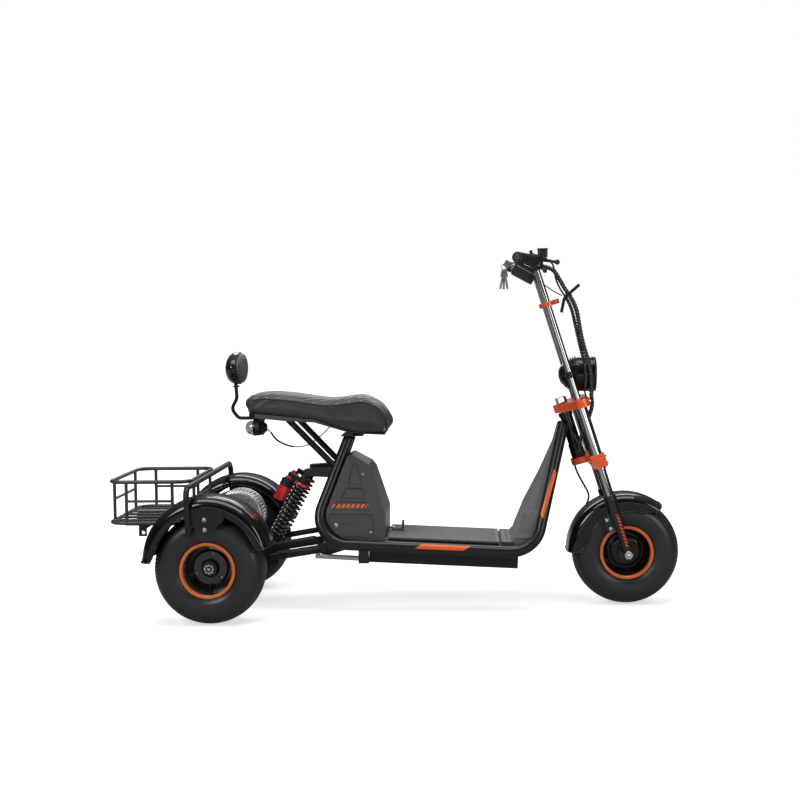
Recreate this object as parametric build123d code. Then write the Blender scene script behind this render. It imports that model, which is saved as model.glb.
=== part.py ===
"""Electric three-wheel scooter, modelled piece by piece in millimetres.

Frame: +X is the way the scooter drives, +Y is its left side, +Z is up. While it is modelled, X is
counted from the rear axle and Z from the ground; every piece is then moved so that the origin
lies on the ground in the middle of the whole scooter's outline.
"""

import os
from math import cos, pi, radians, sin, sqrt, tan

from build123d import *

# ---------------------------------------------------------------- driving dimensions (mm)
wheelbase = 1345.0
track = 624.0  # between the middles of the rear tyres

# clearances
fit_gap = 0.3  # between curved faces of neighbouring pieces
clamp_gap = 0.1  # radial, of a clamp around its tube
running_clearance = 0.05  # radial, of a turning shaft in its bore
moving_gap = 5.0  # between pieces that move past each other

# wheels
tyre_radius = 177.5
tyre_width = 144.0
tyre_wall = 9.0
bead_radius = 84.0
rim_lip_radius = 89.0
rim_lip_width = 5.0
rim_width = 136.0
barrel_wall = 5.5
rear_hub_radius = 56.0
front_hub_radius = 66.0
hub_bolt_circle_radius = 42.0
hub_bolt_count = 5
hub_inner_reach = 30.0  # from the wheel's middle towards the vehicle
hub_outer_reach = 22.0

# fork, along s from the front axle
rake = 17.3  # degrees from the vertical
fork_offset = 50.0  # legs ahead of the steering axis
leg_spacing = 200.0
riser_spacing = 144.0
stanchion_radius = 16.0
outer_tube_radius = 19.5
riser_radius = 11.0
slider_top_radius = 19.0
slider_foot_radius = 12.0
slider_top = 205.0
stanchion_engagement = 60.0
axle_lug_radius = 17.0
axle_lug_width = 26.0
lower_yoke_bottom = 292.0
lower_yoke_step = 338.0
lower_yoke_top = 368.0
head_tube_bottom = 380.0
head_tube_top = 503.0
head_tube_radius = 21.0
stem_radius = 14.0
bearing_height = 12.0
upper_yoke_bottom = 508.0
upper_yoke_thickness = 27.0
bar_yoke_bottom = 857.0
bar_yoke_thickness = 15.0
front_axle_radius = 7.0
axle_nut_thickness = 11.0

# handlebar
bar_radius = 11.0
bar_height_on_fork = 1006.0
bar_lead = 10.0  # ahead of the fork legs
bar_half_width = 354.0
bar_sweep = 76.0
bar_bend_radius = 60.0
grip_radius = 17.0
grip_length = 120.0
perch_y = bar_half_width - grip_length - 33.0  # a perch clamps clear of its grip
bar_bend_y = perch_y - 23.0  # the bar is straight under its perches

# headlight
light_radius = 58.0
light_height = tyre_radius + 592.5
light_rear_x = 1127.0
light_front_x = 1246.0

# frame
rail_radius = 17.5
rail_wall = 2.5
cross_radius = 11.0
floor_tilt = 2.8  # degrees, nose down
floor_height = 209.5  # middle of the rail at mid floor
floor_mid_x = 735.0
floor_half_width = 172.0
rear_leg_foot_x = 294.0
rear_leg_top = (422.0, 48.0, 564.0)
front_leg_foot_x = 1037.0
front_leg_top = (1141.0, 30.0, tyre_radius + 426.5)
rear_bend_radius = 95.0
front_bend_radius = 100.0
rear_cross_x = 436.0
front_cross_z = 300.0

# floor, lid and battery; heights are over the rails' middle line
tray_rear_x = 446.0
tray_front_x = 986.0
tray_bottom = 12.0
tray_thickness = 4.0
cover_gap = 1.5
cover_panel_depth = 2.5
floor_surface = 28.5
mat_thickness = 3.0
lid_thickness = 4.0
lid_rear_x = 554.0
lid_front_x = 921.0
lid_half_width = 146.0
hatch_half_width = 112.0
hatch_margin = 22.0
box_rear_x = 494.0
box_front_x = 984.0
box_half_width = 132.0
box_bottom = -60.0
box_wall = 2.5
battery_margin = 8.0

# shallow panels in the body cover's sides, as outlines of (x, z), and its lock
cover_panels = (
    ((440, 484), (425, 420), (472, 416), (452, 484)),
    ((421, 407), (400, 374), (482, 372), (474, 405)),
    ((392, 363), (372, 336), (494, 333), (486, 361)),
    ((366, 324), (361, 300), (372, 268), (396, 249), (508, 246), (511, 305), (500, 323)),
)
cover_lock = (386.0, 286.0)

# rear suspension and axle
pivot_x = 344.0
pivot_z = 204.0
pivot_bolt_radius = 8.0
arm_y = 105.0
arm_radius = 14.0
arm_plate_thickness = 8.0
shock_y = 82.0
shock_foot = (162.0, 213.0)
shock_head = (290.0, 455.0)
shock_pin_radius = 6.0
shock_eye_radius = 13.0
shock_eye_width = 22.0
spring_radius = 21.0
spring_wire_radius = 3.2
spring_turns = 9
spring_start = 34.0
spring_end = 222.0
reservoir_radius = 19.5
reservoir_length = 61.0
reservoir_offset = 47.0
reservoir_middle = 189.0
ear_thickness = 5.0
axle_tube_radius = 27.0
half_shaft_radius = 12.0
shaft_engagement = 120.0
motor_radius = 86.0
motor_length = 128.0
motor_centre = (42.0, 304.0)
fin_pitch = 10.0
fin_depth = 6.0

# rear body
fender_radius = tyre_radius + 27.5
fender_half_width = 86.0
fender_centre = (-8.0, tyre_radius + 22.5)
fender_top = fender_centre[1] + fender_radius
fender_shoulder = 20.0
sheet = 3.0
# depth of a fender's skirts below its crown, as (angle from the front, depth)
outer_skirt = ((8, 30), (20, 44), (60, 48), (150, 48), (172, 42), (183, 30))
inner_skirt = ((8, 24), (183, 24))
front_skirt = ((53, 22), (60, 40), (72, 56), (95, 60), (160, 60), (172, 54), (181, 36))
hoop_radius = 9.5
hoop_x = -57.0
hoop_top = fender_top + 36.0
hoop_foot = fender_top - 115.0
hoop_bend_radius = 36.0
basket_rear_x = -349.0
basket_front_x = -84.0
basket_half_width = 215.0
basket_bottom = 307.0
basket_top = 441.0
basket_middle = 378.0
basket_tube_radius = 6.5
basket_bar_radius = 5.5
thin_bar_radius = 4.5
basket_corner_radius = 45.0
basket_side_posts = (-292.0, -141.0)
basket_end_post_y = 143.0
basket_floor_bars = 5
carrier_y = 80.0
carrier_bar = 20.0
tab_hole_radius = 5.5

# front fender
front_fender_radius = tyre_radius + 18.5
front_fender_half_width = 80.0

# seat and backrest
seat_half_width = 132.0
seat_nose_half_width = 112.0
pan_half_width = 124.0
pan_thickness = 15.0
pan_wall = 3.5
strut_radius = 10.5
strut_y = 98.0
backrest_rod_radius = 6.0

# tail lamp
lamp_radius = 27.0
lamp_rear_x = 84.0
lamp_z = 600.0

# display under the bar, and the strap round the cables below it
dash_length = 75.0
dash_width = 84.0
dash_depth = 46.0
dash_back = 39.4  # behind the bar
dash_drop = 31.9
dash_tilt = 29.0
strap_on_bundle = (3, 4)  # the runs that the strap ties together, by their ends
strap_on_cable = (6, 7)

# side stand
stand_pivot_x = 478.0
stand_pivot_z = 178.0
stand_y = -161.0
stand_length = 152.0
stand_radius = 8.0

# cords
bundle_radius = 7.5
cable_radius = 3.0
hose_radius = 2.5
lead_radius = 2.0

axle_y = track / 2
leg_y = leg_spacing / 2
riser_y = riser_spacing / 2
upper_yoke_top = upper_yoke_bottom + upper_yoke_thickness
bar_yoke_top = bar_yoke_bottom + bar_yoke_thickness
hoop_y = axle_y + fender_half_width + fit_gap + hoop_radius

# The fork's own frame: x ahead of the legs, z along them, from the front axle.
FORK = Plane(
    origin=(wheelbase, 0, tyre_radius),
    x_dir=(cos(radians(rake)), 0, sin(radians(rake))),
    z_dir=(-sin(radians(rake)), 0, cos(radians(rake))),
)
# The display's own frame: x forward and down its length, z square to its top.
DASH = Plane(
    origin=(
        wheelbase - bar_height_on_fork * sin(radians(rake)) + bar_lead * cos(radians(rake)) - dash_back,
        0,
        tyre_radius + bar_height_on_fork * cos(radians(rake)) + bar_lead * sin(radians(rake)) - dash_drop,
    ),
    x_dir=(cos(radians(dash_tilt)), 0, -sin(radians(dash_tilt))),
    z_dir=(sin(radians(dash_tilt)), 0, cos(radians(dash_tilt))),
)
dash_bar_x = dash_back * cos(radians(dash_tilt)) - dash_drop * sin(radians(dash_tilt))
# The floor's own frame: x along the rails from mid floor, z square to them from their middle line.
FLOOR = Plane(
    origin=(floor_mid_x, 0, floor_height),
    x_dir=(cos(radians(floor_tilt)), 0, -sin(radians(floor_tilt))),
    z_dir=(sin(radians(floor_tilt)), 0, cos(radians(floor_tilt))),
)


# ---------------------------------------------------------------- shapes used throughout
def rod(start, end, radius):
    """A round bar from one point to another."""
    start, end = Vector(start), Vector(end)
    return Solid.make_cylinder(radius, (end - start).length, Plane(origin=start, z_dir=end - start))


def cross_rod(x, z, radius, y_low, y_high):
    """A round bar along Y."""
    return rod((x, y_low, z), (x, y_high, z), radius)


def bent_tube(points, bend_radii, radius, wall=0.0):
    """A tube along straight runs joined by tangent arcs; without a wall it is a solid bar."""
    path = FilletPolyline(*points, radius=bend_radii)
    section = Circle(radius) - Circle(radius - wall) if wall else Circle(radius)
    return sweep(Plane(origin=path @ 0, z_dir=path % 0) * section, path=path)


def side_face(outline, y=0.0):
    """A flat face with a side-view outline of (x, z) points, at a place along Y."""
    plane = Plane(origin=(0, y, 0), x_dir=(1, 0, 0), z_dir=(0, -1, 0))
    return plane * make_face(Polyline(*outline, close=True))


def side_plate(outline, y_low, y_high):
    """A plate with a side-view outline of (x, z) points, between two places along Y."""
    return extrude(side_face(outline, y_high), amount=y_high - y_low)


def front_prism(outline, x_low, x_high):
    """A prism with a front-view outline of (y, z) points, between two places along X."""
    plane = Plane(origin=(x_low, 0, 0), x_dir=(0, 1, 0), z_dir=(1, 0, 0))
    return extrude(plane * make_face(Polyline(*outline, close=True)), amount=x_high - x_low)


def mirrored(shape):
    """The same piece on the other side of the scooter."""
    return mirror(shape, about=Plane.XZ)


def group(*shapes):
    """Several pieces as the separate solids of one node."""
    return Compound([solid for shape in shapes for solid in shape.solids()])


def biggest(shape):
    """The largest solid of a cut piece, without its offcuts."""
    return shape.solids().sort_by(SortBy.VOLUME)[-1]


def both_sides(shape):
    """A piece and its mirror image in one node."""
    return group(shape, mirrored(shape))


def hull_plate(discs, thickness):
    """A plate that wraps round discs, each given as (x, y, radius)."""
    edges = [edge for x, y, radius in discs for edge in (Pos(x, y) * Circle(radius)).edges()]
    return extrude(make_hull(edges), amount=thickness)


def on_fork(s, p=0.0, y=0.0):
    """A point along the fork from the front axle, ahead of the legs, and across."""
    return FORK.from_local_coords(Vector(p, y, s))


def floor_z(x):
    """Height of the rails' middle line over a place along the floor."""
    return floor_height - (x - floor_mid_x) * tan(radians(floor_tilt))


def floor_u(x):
    """Distance along the tilted floor, from mid floor, of a place along X."""
    return (x - floor_mid_x) / cos(radians(floor_tilt))


def floor_box(x_low, x_high, half_width, low, high):
    """A block laid along the tilted floor, between two heights over the rails' middle line."""
    u_low, u_high = floor_u(x_low), floor_u(x_high)
    block = Box(u_high - u_low, 2 * half_width, high - low)
    return FLOOR * (Pos((u_low + u_high) / 2, 0, (low + high) / 2) * block)


# ---------------------------------------------------------------- wheels
def tyre(centre_y):
    """A fat low-pressure tyre: a hollow carcass, open between its beads."""
    bead_half = rim_width / 2 - rim_lip_width - fit_gap

    def carcass(inset):
        side, crown = tyre_width / 2 - inset, tyre_radius - inset
        shoulder = (side - 14, crown - 13)
        lip = (bead_half - inset, rim_lip_radius + 1)
        middle = (side, (crown + bead_radius) / 2 - 4)
        return make_face(
            Curve()
            + [
                ThreePointArc((-shoulder[0], shoulder[1]), (0, crown), shoulder),
                ThreePointArc(shoulder, middle, lip),
                Polyline(lip, (lip[0], bead_radius), (-lip[0], bead_radius), (-lip[0], lip[1])),
                ThreePointArc((-lip[0], lip[1]), (-middle[0], middle[1]), (-shoulder[0], shoulder[1])),
            ]
        )

    ring = revolve(Plane.YZ * (carcass(0) - carcass(tyre_wall)), Axis.Y)
    return Pos(0, centre_y, tyre_radius) * ring


def rim(centre_y, hub_radius, bore_radius, outward):
    """A rim with lips, barrel, middle disc and bolted hub; outward is +1 or -1 along Y."""
    half = rim_width / 2
    barrel = bead_radius - fit_gap
    inner = barrel - barrel_wall
    outline = [
        (half - 1.5, rim_lip_radius),
        (half - rim_lip_width, rim_lip_radius),
        (half - rim_lip_width, barrel),
        (-half + rim_lip_width, barrel),
        (-half + rim_lip_width, rim_lip_radius),
        (-half + 1.5, rim_lip_radius),
        (-half, rim_lip_radius - 1.5),
        (-half, inner + 3),
        (-half + 3, inner),
        (-14, inner),
        (-8, hub_radius + 6),
        (-8, 34),
        (-hub_inner_reach, 26),
        (-hub_inner_reach, bore_radius),
        (hub_outer_reach, bore_radius),
        (hub_outer_reach, 22),
        (13, 26),
        (9, 30),
        (9, hub_radius - 3),
        (6, hub_radius),
        (-2, hub_radius + 3),
        (-4, inner - 4),
        (2, inner),
        (half - 3, inner),
        (half, inner + 3),
        (half, rim_lip_radius - 1.5),
    ]
    wheel = revolve(Plane.YZ * make_face(Polyline(*outline, close=True)), Axis.Y)
    for k in range(hub_bolt_count):
        turn = 2 * pi * k / hub_bolt_count + pi / 2
        x, z = hub_bolt_circle_radius * cos(turn), hub_bolt_circle_radius * sin(turn)
        wheel = wheel + cross_rod(x, z, 4.5, 8, 13)
    if outward < 0:
        wheel = mirrored(wheel)
    return Pos(0, centre_y, tyre_radius) * wheel


def rear_rim(outward):
    """A rear rim with the half shaft that turns in the axle housing, and its end nut."""
    inner_end = outward * (axle_y - hub_inner_reach - shaft_engagement)
    outer_end = outward * (axle_y + hub_outer_reach + 6)
    shaft = rod((0, inner_end, tyre_radius), (0, outer_end, tyre_radius), half_shaft_radius)
    nut_plane = Plane(
        origin=(0, outward * (axle_y + hub_outer_reach - 1), tyre_radius),
        x_dir=(1, 0, 0),
        z_dir=(0, outward, 0),
    )
    nut = extrude(nut_plane * RegularPolygon(17, 6), amount=12)
    return rim(outward * axle_y, rear_hub_radius, half_shaft_radius - 1, outward) + shaft + nut


# ---------------------------------------------------------------- frame
def rail(radius, wall=0.0):
    """The right-hand main tube: rear leg, bend, floor, bend, front leg."""
    points = [
        (rear_leg_top[0], -rear_leg_top[1], rear_leg_top[2]),
        (rear_leg_foot_x, -floor_half_width, floor_z(rear_leg_foot_x)),
        (front_leg_foot_x, -floor_half_width, floor_z(front_leg_foot_x)),
        (front_leg_top[0], -front_leg_top[1], front_leg_top[2]),
    ]
    return bent_tube(points, [rear_bend_radius, front_bend_radius], radius, wall)


def leg_at(foot_x, top, z):
    """The middle of a rail's leg at a height, as (x, half spacing)."""
    share = (z - floor_z(foot_x)) / (top[2] - floor_z(foot_x))
    return foot_x + share * (top[0] - foot_x), floor_half_width + share * (top[1] - floor_half_width)


def rear_leg_at(z):
    return leg_at(rear_leg_foot_x, rear_leg_top, z)


def front_leg_at(z):
    return leg_at(front_leg_foot_x, front_leg_top, z)


def rail_cope():
    """Both rails a fit gap fatter: what a tube that is welded to them is cut back by."""
    return both_sides(rail(rail_radius + fit_gap))


def head_tube_cylinder(radius):
    height = head_tube_top - head_tube_bottom
    return FORK * (Pos(-fork_offset, 0, head_tube_bottom) * extrude(Circle(radius), amount=height))


def frame_rail():
    """The right-hand rail, coped round the head tube."""
    return rail(rail_radius, rail_wall) - head_tube_cylinder(head_tube_radius + fit_gap)


def head_tube():
    """The steering's bearing tube: a bearing land at each end and a wide middle."""
    low, high = head_tube_bottom, head_tube_top
    land = stem_radius + running_clearance
    outline = [
        (land, low),
        (head_tube_radius + 3, low),
        (head_tube_radius + 3, low + bearing_height),
        (head_tube_radius, low + bearing_height),
        (head_tube_radius, high - bearing_height),
        (head_tube_radius + 3, high - bearing_height),
        (head_tube_radius + 3, high),
        (land, high),
        (land, high - bearing_height),
        (land + 3, high - bearing_height),
        (land + 3, low + bearing_height),
        (land, low + bearing_height),
    ]
    turned = revolve(Plane.XZ * make_face(Polyline(*outline, close=True)), Axis.Z)
    return FORK * (Pos(-fork_offset, 0, 0) * turned)


def shock_mount():
    """The cross tube between the rear legs, with the ears and pins that hold the shocks' heads."""
    mount_x, mount_y = rear_leg_at(shock_head[1])
    mount = cross_rod(mount_x, shock_head[1], cross_radius, -mount_y, mount_y)
    head_x, head_z = shock_head
    ear_outline = [
        (head_x - 13, head_z - 11),
        (head_x - 13, head_z + 11),
        (mount_x, head_z + 17),
        (mount_x, head_z - 17),
    ]
    inside = shock_eye_width / 2 + fit_gap
    for side in (-1, 1):
        middle = side * shock_y
        for low in (middle - inside - ear_thickness, middle + inside):
            mount = mount + side_plate(ear_outline, low, low + ear_thickness)
        reach = inside + ear_thickness + 4
        mount = mount + cross_rod(head_x, head_z, shock_pin_radius, middle - reach, middle + reach)
    return mount


def pivot_mount():
    """The cross tube behind the floor, with the plates and bolt of the swing arm's pivot."""
    z = floor_z(rear_cross_x)
    mount = cross_rod(rear_cross_x, z, cross_radius, -floor_half_width, floor_half_width)
    outline = [
        (pivot_x - 20, pivot_z - 12),
        (pivot_x - 18, pivot_z + 16),
        (pivot_x + 4, pivot_z + 22),
        (rear_cross_x + 6, z + 8),
        (rear_cross_x + 12, z - 12),
        (pivot_x + 14, pivot_z - 20),
    ]
    inside = arm_y + arm_radius + 3
    for side in (-1, 1):
        low = side * inside if side > 0 else -inside - 6
        mount = mount + side_plate(outline, low, low + 6)
    reach = inside + 16
    return mount + cross_rod(pivot_x, pivot_z, pivot_bolt_radius, -reach, reach)


def stand_bracket():
    """The ear under the right rail that carries the side stand, with its pivot pin."""
    rail_underside = floor_z(stand_pivot_x) - rail_radius
    outline = [
        (stand_pivot_x - 17, stand_pivot_z - 13),
        (stand_pivot_x - 17, rail_underside + 4),
        (stand_pivot_x + 17, rail_underside + 4),
        (stand_pivot_x + 17, stand_pivot_z - 13),
    ]
    plate = side_plate(outline, stand_y - 20, stand_y - 15)
    pin = cross_rod(stand_pivot_x, stand_pivot_z, 5, stand_y - 24, stand_y + 14)
    return plate + pin


def frame_cross_members():
    """Everything welded between the rails, cut back to their surface."""
    front_x, front_y = front_leg_at(front_cross_z)
    front_tube = cross_rod(front_x, front_cross_z, cross_radius, -front_y, front_y)
    cope = rail_cope()
    pieces = [piece - cope for piece in (shock_mount(), pivot_mount(), front_tube, stand_bracket())]
    return group(*pieces, seat_bracket())


def seat_bracket():
    """The plate on the rails' rear ends, with the two pads that carry the seat pan."""
    top_x, top_y, top_z = rear_leg_top
    plate = Pos(top_x + 14, 0, top_z + 11) * Box(72, 2 * top_y + 50, 4)
    for side in (-1, 1):
        plate = plate + (Pos(top_x + 24, side * 36, top_z + 20) * Cylinder(9, 20) - above_pan())
    return plate


def seat_struts():
    """Two struts from the seat pan down to the rails' rear legs."""
    foot_x, foot_y = rear_leg_at(468)
    strut = rod((215, -strut_y, 645), (foot_x, -foot_y, 468), strut_radius)
    return both_sides(biggest(strut - rail_cope() - above_pan()))


# ---------------------------------------------------------------- seat
seat_underside = [(96, 658), (216, 645), (316, 633), (413, 600), (445, 591), (552, 585)]


def pan_underside(extra=0.0):
    """The seat base's lower outline, front to rear: deep at the rear, thin at the nose."""
    low = [(100, pan_thickness), (216, pan_thickness), (316, 9), (413, 5.5), (445, 5), (548, 5)]
    tops = {x: z for x, z in seat_underside}
    tops.update({100: 657.5, 548: 585.2})
    return [(x, tops[x] - fit_gap - depth - extra) for x, depth in low][::-1]


def above_pan():
    """Everything above the seat pan's underside: what the pieces under it are cut back by."""
    return side_plate([*pan_underside(fit_gap), (90, 760), (560, 760)], -200, 200)


def seat_pan():
    """The moulded seat base under the cushion, hollow from below at its deep rear end."""
    top = [(100, 657.2), *[(x, z - fit_gap) for x, z in seat_underside[1:-1]], (548, 584.9)]
    base = side_plate([*top, *pan_underside()], -pan_half_width, pan_half_width)
    base = base & extrude(Pos(0, 0, 500) * make_face(seat_plan(seat_half_width - pan_half_width)), amount=300)
    hollow = Pos(175, 0, 638) * Box(110, 2 * (pan_half_width - 2 * pan_wall), 20)
    lowered = [(x, z - fit_gap - pan_wall) for x, z in seat_underside]
    lid = side_plate(lowered + [(552, 500), (96, 500)], -200, 200)
    pad = Pos(128, 0, 638) * Box(50, 60, 24)
    return base - ((hollow & lid) - pad)


def seat_plan(inset=0.0):
    """The cushion's outline from above."""
    nose, full = seat_nose_half_width - inset, seat_half_width - inset
    rear, front = 70 + inset, 580 - inset
    points = [(rear, -full), (400, -full), (front, -nose), (front, nose), (400, full), (rear, full)]
    return FilletPolyline(*points, radius=45 - inset / 2, close=True)


def seat():
    """The cushion: a rounded side outline, narrower at its nose."""
    top = Spline(
        (552, 585),
        (574, 614),
        (564, 645),
        (537, 683),
        (505, 701),
        (460, 708),
        (361, 699),
        (238, 716),
        (150, 722),
        (92, 712),
        (78, 690),
        (96, 658),
    )
    bottom = Polyline(*seat_underside)
    plane = Plane(origin=(0, seat_half_width, 0), x_dir=(1, 0, 0), z_dir=(0, -1, 0))
    block = extrude(plane * make_face(Curve() + [top, bottom]), amount=2 * seat_half_width)
    return block & extrude(Pos(0, 0, 550) * make_face(seat_plan()), amount=220)


def backrest_rod():
    """The bent rod that holds the backrest, and its clamp under the pan."""
    points = [(38, 0, 752), (41, 0, 700), (22, 0, 664), (46, 0, 633), (114, 0, 633)]
    arm = bent_tube(points, [30, 22, 20], backrest_rod_radius)
    clamp = Pos(104, 0, 639) * Box(18, 34, 12)
    flange = Pos(40, 0, 741) * Box(16, 40, 5)
    return (arm + clamp - above_pan()) + flange


def backrest_pad():
    """The oval pad at the rod's upper end."""
    plane = Plane(origin=(32, 0, 802), x_dir=(0, 1, 0), z_dir=(1, 0, 0))
    pad = extrude(plane * Ellipse(108, 54), amount=42)
    pad = fillet(pad.edges(), 14)
    socket = rod((38, 0, 730), (38.8, 0, 757), backrest_rod_radius + fit_gap)
    return pad - socket


# ---------------------------------------------------------------- floor and body
def floor_tray():
    """The moulded floor between the rails, open over the battery."""
    half = floor_half_width - sqrt(rail_radius**2 - tray_bottom**2) - fit_gap
    top = tray_bottom + tray_thickness
    tray = floor_box(tray_rear_x, tray_front_x, half, tray_bottom, top)
    front_part = (lid_front_x + moving_gap, tray_front_x - 20, lid_half_width)
    tray = tray + floor_box(*front_part, tray_bottom, floor_surface)
    coaming = floor_box(
        lid_rear_x + hatch_margin - 8,
        lid_front_x - hatch_margin + 8,
        hatch_half_width + 8,
        tray_bottom,
        floor_surface - mat_thickness - lid_thickness - fit_gap,
    )
    hatch = floor_box(
        lid_rear_x + hatch_margin, lid_front_x - hatch_margin, hatch_half_width, tray_bottom - 1, floor_surface + 1
    )
    return tray + coaming - hatch - rail_cope()


def leg_shield():
    """The hollow moulded shield on the rider's side of the front legs, narrowing to the head tube."""
    foot_x = tray_front_x - 20 + fit_gap
    rear = [(foot_x + 6, 238), (foot_x + 14, 262), (1010, 338), (1064, 445), (1112, 558), (1124, 600)]

    def wedge(inset):
        rear_line = [(x + inset, z) for x, z in rear]
        front = [(front_leg_at(z)[0] - 2, z) for z in (600, 420, 300)]
        side = side_plate([*rear_line, *front, (1030, 238)], -170, 170)
        low_y = front_leg_at(238)[1] - rail_radius - 4 - inset
        high_y = front_leg_at(600)[1] - 4 - inset
        view = [(-low_y, 237), (low_y, 237), (high_y, 601), (-high_y, 601)]
        return side & front_prism(view, 900, 1200)

    hollow = wedge(4)
    shield = wedge(0) - Pos(2, 0, 0) * hollow
    cross_x = front_leg_at(front_cross_z)[0]
    return shield - rail_cope() - cross_rod(cross_x, front_cross_z, cross_radius + 1, -200, 200)


def cover_profile(inset):
    """The side-view face of the body cover, behind the floor and inside the rear bend."""
    reach = rail_radius + cover_gap + inset
    bend_x, bend_z = rear_bend_centre()
    inner = rear_bend_radius - reach
    seat_over = tray_bottom + tray_thickness + fit_gap + inset
    leg_slope = (rear_leg_top[0] - rear_leg_foot_x) / (rear_leg_top[2] - floor_z(rear_leg_foot_x))
    across = reach * sqrt(1 + leg_slope**2)
    upper = (rear_leg_at(508)[0] + across, 508 - inset)
    lower = (rear_leg_at(bend_z + 22)[0] + across, bend_z + 22)
    floor_start = (bend_x + 12, floor_z(bend_x + 12) + seat_over)
    corner = inner * sqrt(0.5)
    lines = [
        Line(upper, lower),
        ThreePointArc(lower, (bend_x - corner, bend_z - corner), floor_start),
        Polyline(
            floor_start,
            (547 - inset, floor_z(547) + seat_over),
            (549 - inset, 320),
            (519 - inset, 420),
            (506 - inset, 462),
            (492 - inset, 480 - inset),
            (434, 513 - inset),
            upper,
        ),
    ]
    return make_face(Curve() + lines)


def rear_bend_centre():
    """The middle of the rail's rear bend in side view, as (x, z)."""
    top_x, _, top_z = rear_leg_top
    foot_x, foot_z = rear_leg_foot_x, floor_z(rear_leg_foot_x)
    leg = Vector(top_x - foot_x, top_z - foot_z).normalized()
    floor = Vector(cos(radians(floor_tilt)), -sin(radians(floor_tilt)))
    half_angle = radians(leg.get_angle(floor)) / 2
    towards = (leg + floor).normalized()
    middle = Vector(foot_x, foot_z) + towards * (rear_bend_radius / sin(half_angle))
    return middle.X, middle.Y


def cover_sides(inset):
    """The front view that the body cover is cut to, a little narrower if wanted."""
    low, waist, high = 150 - inset, 147 - inset, 88 - inset
    view = [(-low, 190), (low, 190), (waist, 320), (high, 520), (-high, 520), (-waist, 320)]
    return front_prism(view, 300, 600)


def body_cover():
    """The moulded housing behind the floor, with four shallow panels and a lock in each side."""
    plane = Plane(origin=(0, 150, 0), x_dir=(1, 0, 0), z_dir=(0, -1, 0))
    block = extrude(plane * cover_profile(0), amount=300)
    cover = block & cover_sides(0)
    skin = block - cover_sides(cover_panel_depth)
    for panel in cover_panels:
        cover = cover - (side_plate(panel, -151, 151) & skin)
    lock_x, lock_z = cover_lock
    lock = cross_rod(lock_x, lock_z, 6, -151 + cover_panel_depth, 151 - cover_panel_depth)
    slot = side_plate([(396, 289.5), (396, 292.5), (452, 290.5), (452, 287.5)], -151, 151)
    cover = cover - (slot & (block - cover_sides(cover_panel_depth + 2)))
    return cover + lock - rail_cope()


def battery_box():
    """The open-topped box that hangs under the floor."""
    shell = floor_box(box_rear_x, box_front_x, box_half_width, box_bottom, tray_bottom - fit_gap)
    ends = (box_rear_x + box_wall, box_front_x - box_wall)
    inside = floor_box(*ends, box_half_width - box_wall, box_bottom + box_wall, tray_bottom)
    return shell - inside


def battery_pack():
    """The battery, as one block that fills the box."""
    gap = box_wall + battery_margin
    return floor_box(
        box_rear_x + gap + 40,
        box_front_x - gap - 40,
        hatch_half_width - battery_margin,
        box_bottom + box_wall + fit_gap,
        tray_bottom - battery_margin,
    )


def floor_lid():
    """The battery lid with its rubber mat, hinge barrels and latch."""
    mat = floor_box(lid_rear_x, lid_front_x, lid_half_width, floor_surface - mat_thickness, floor_surface)
    base_bottom = floor_surface - mat_thickness - lid_thickness
    base = floor_box(lid_rear_x + 3, lid_front_x - 3, lid_half_width - 3, base_bottom, floor_surface)
    lid = mat + base
    u = floor_u(lid_rear_x + 26)
    post = Pos(u, 0, floor_surface + 5) * Box(40, 16, 10)
    lever = Pos(u + 17, 0, floor_surface + 20) * Box(8, 12, 34)
    return lid + FLOOR * post + FLOOR * lever


# ---------------------------------------------------------------- rear suspension and drive
def swing_arm():
    """Two tubes a side from the pivot to the axle plates, with the shocks' lower pins."""
    pivot_tube = cross_rod(pivot_x, pivot_z, 17, -arm_y - 12, arm_y + 12)
    arm = pivot_tube
    foot_x, foot_z = shock_foot
    plate_outline = [
        (-46, 168),
        (-30, 214),
        (60, 222),
        (foot_x - 14, foot_z + 14),
        (foot_x + 14, foot_z + 12),
        (foot_x + 30, 160),
        (foot_x + 10, 146),
        (60, 136),
        (-24, 138),
    ]
    for side in (-1, 1):
        y = side * arm_y
        half = arm_plate_thickness / 2
        arm = arm + rod((pivot_x, y, pivot_z), (foot_x, y, 176), arm_radius)
        arm = arm + rod((pivot_x - 14, y, pivot_z + 12), (pivot_x - 34, y, pivot_z + 34), 9)
        arm = arm + rod((pivot_x - 30, y, pivot_z + 33), (foot_x + 6, y, foot_z), 10)
        arm = arm + side_plate(plate_outline, y - half, y + half)
        pin_inner = side * (shock_y - shock_eye_width / 2 - 8)
        arm = arm + cross_rod(foot_x, foot_z, shock_pin_radius, min(pin_inner, y), max(pin_inner, y))
        nut_end = side * (arm_y + half + 8)
        arm = arm + cross_rod(foot_x, foot_z, 9, min(y, nut_end), max(y, nut_end))
    arm = arm - cross_rod(pivot_x, pivot_z, pivot_bolt_radius + clamp_gap, -200, 200)
    return arm - cross_rod(0, tyre_radius, axle_tube_radius + clamp_gap, -200, 200)


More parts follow.
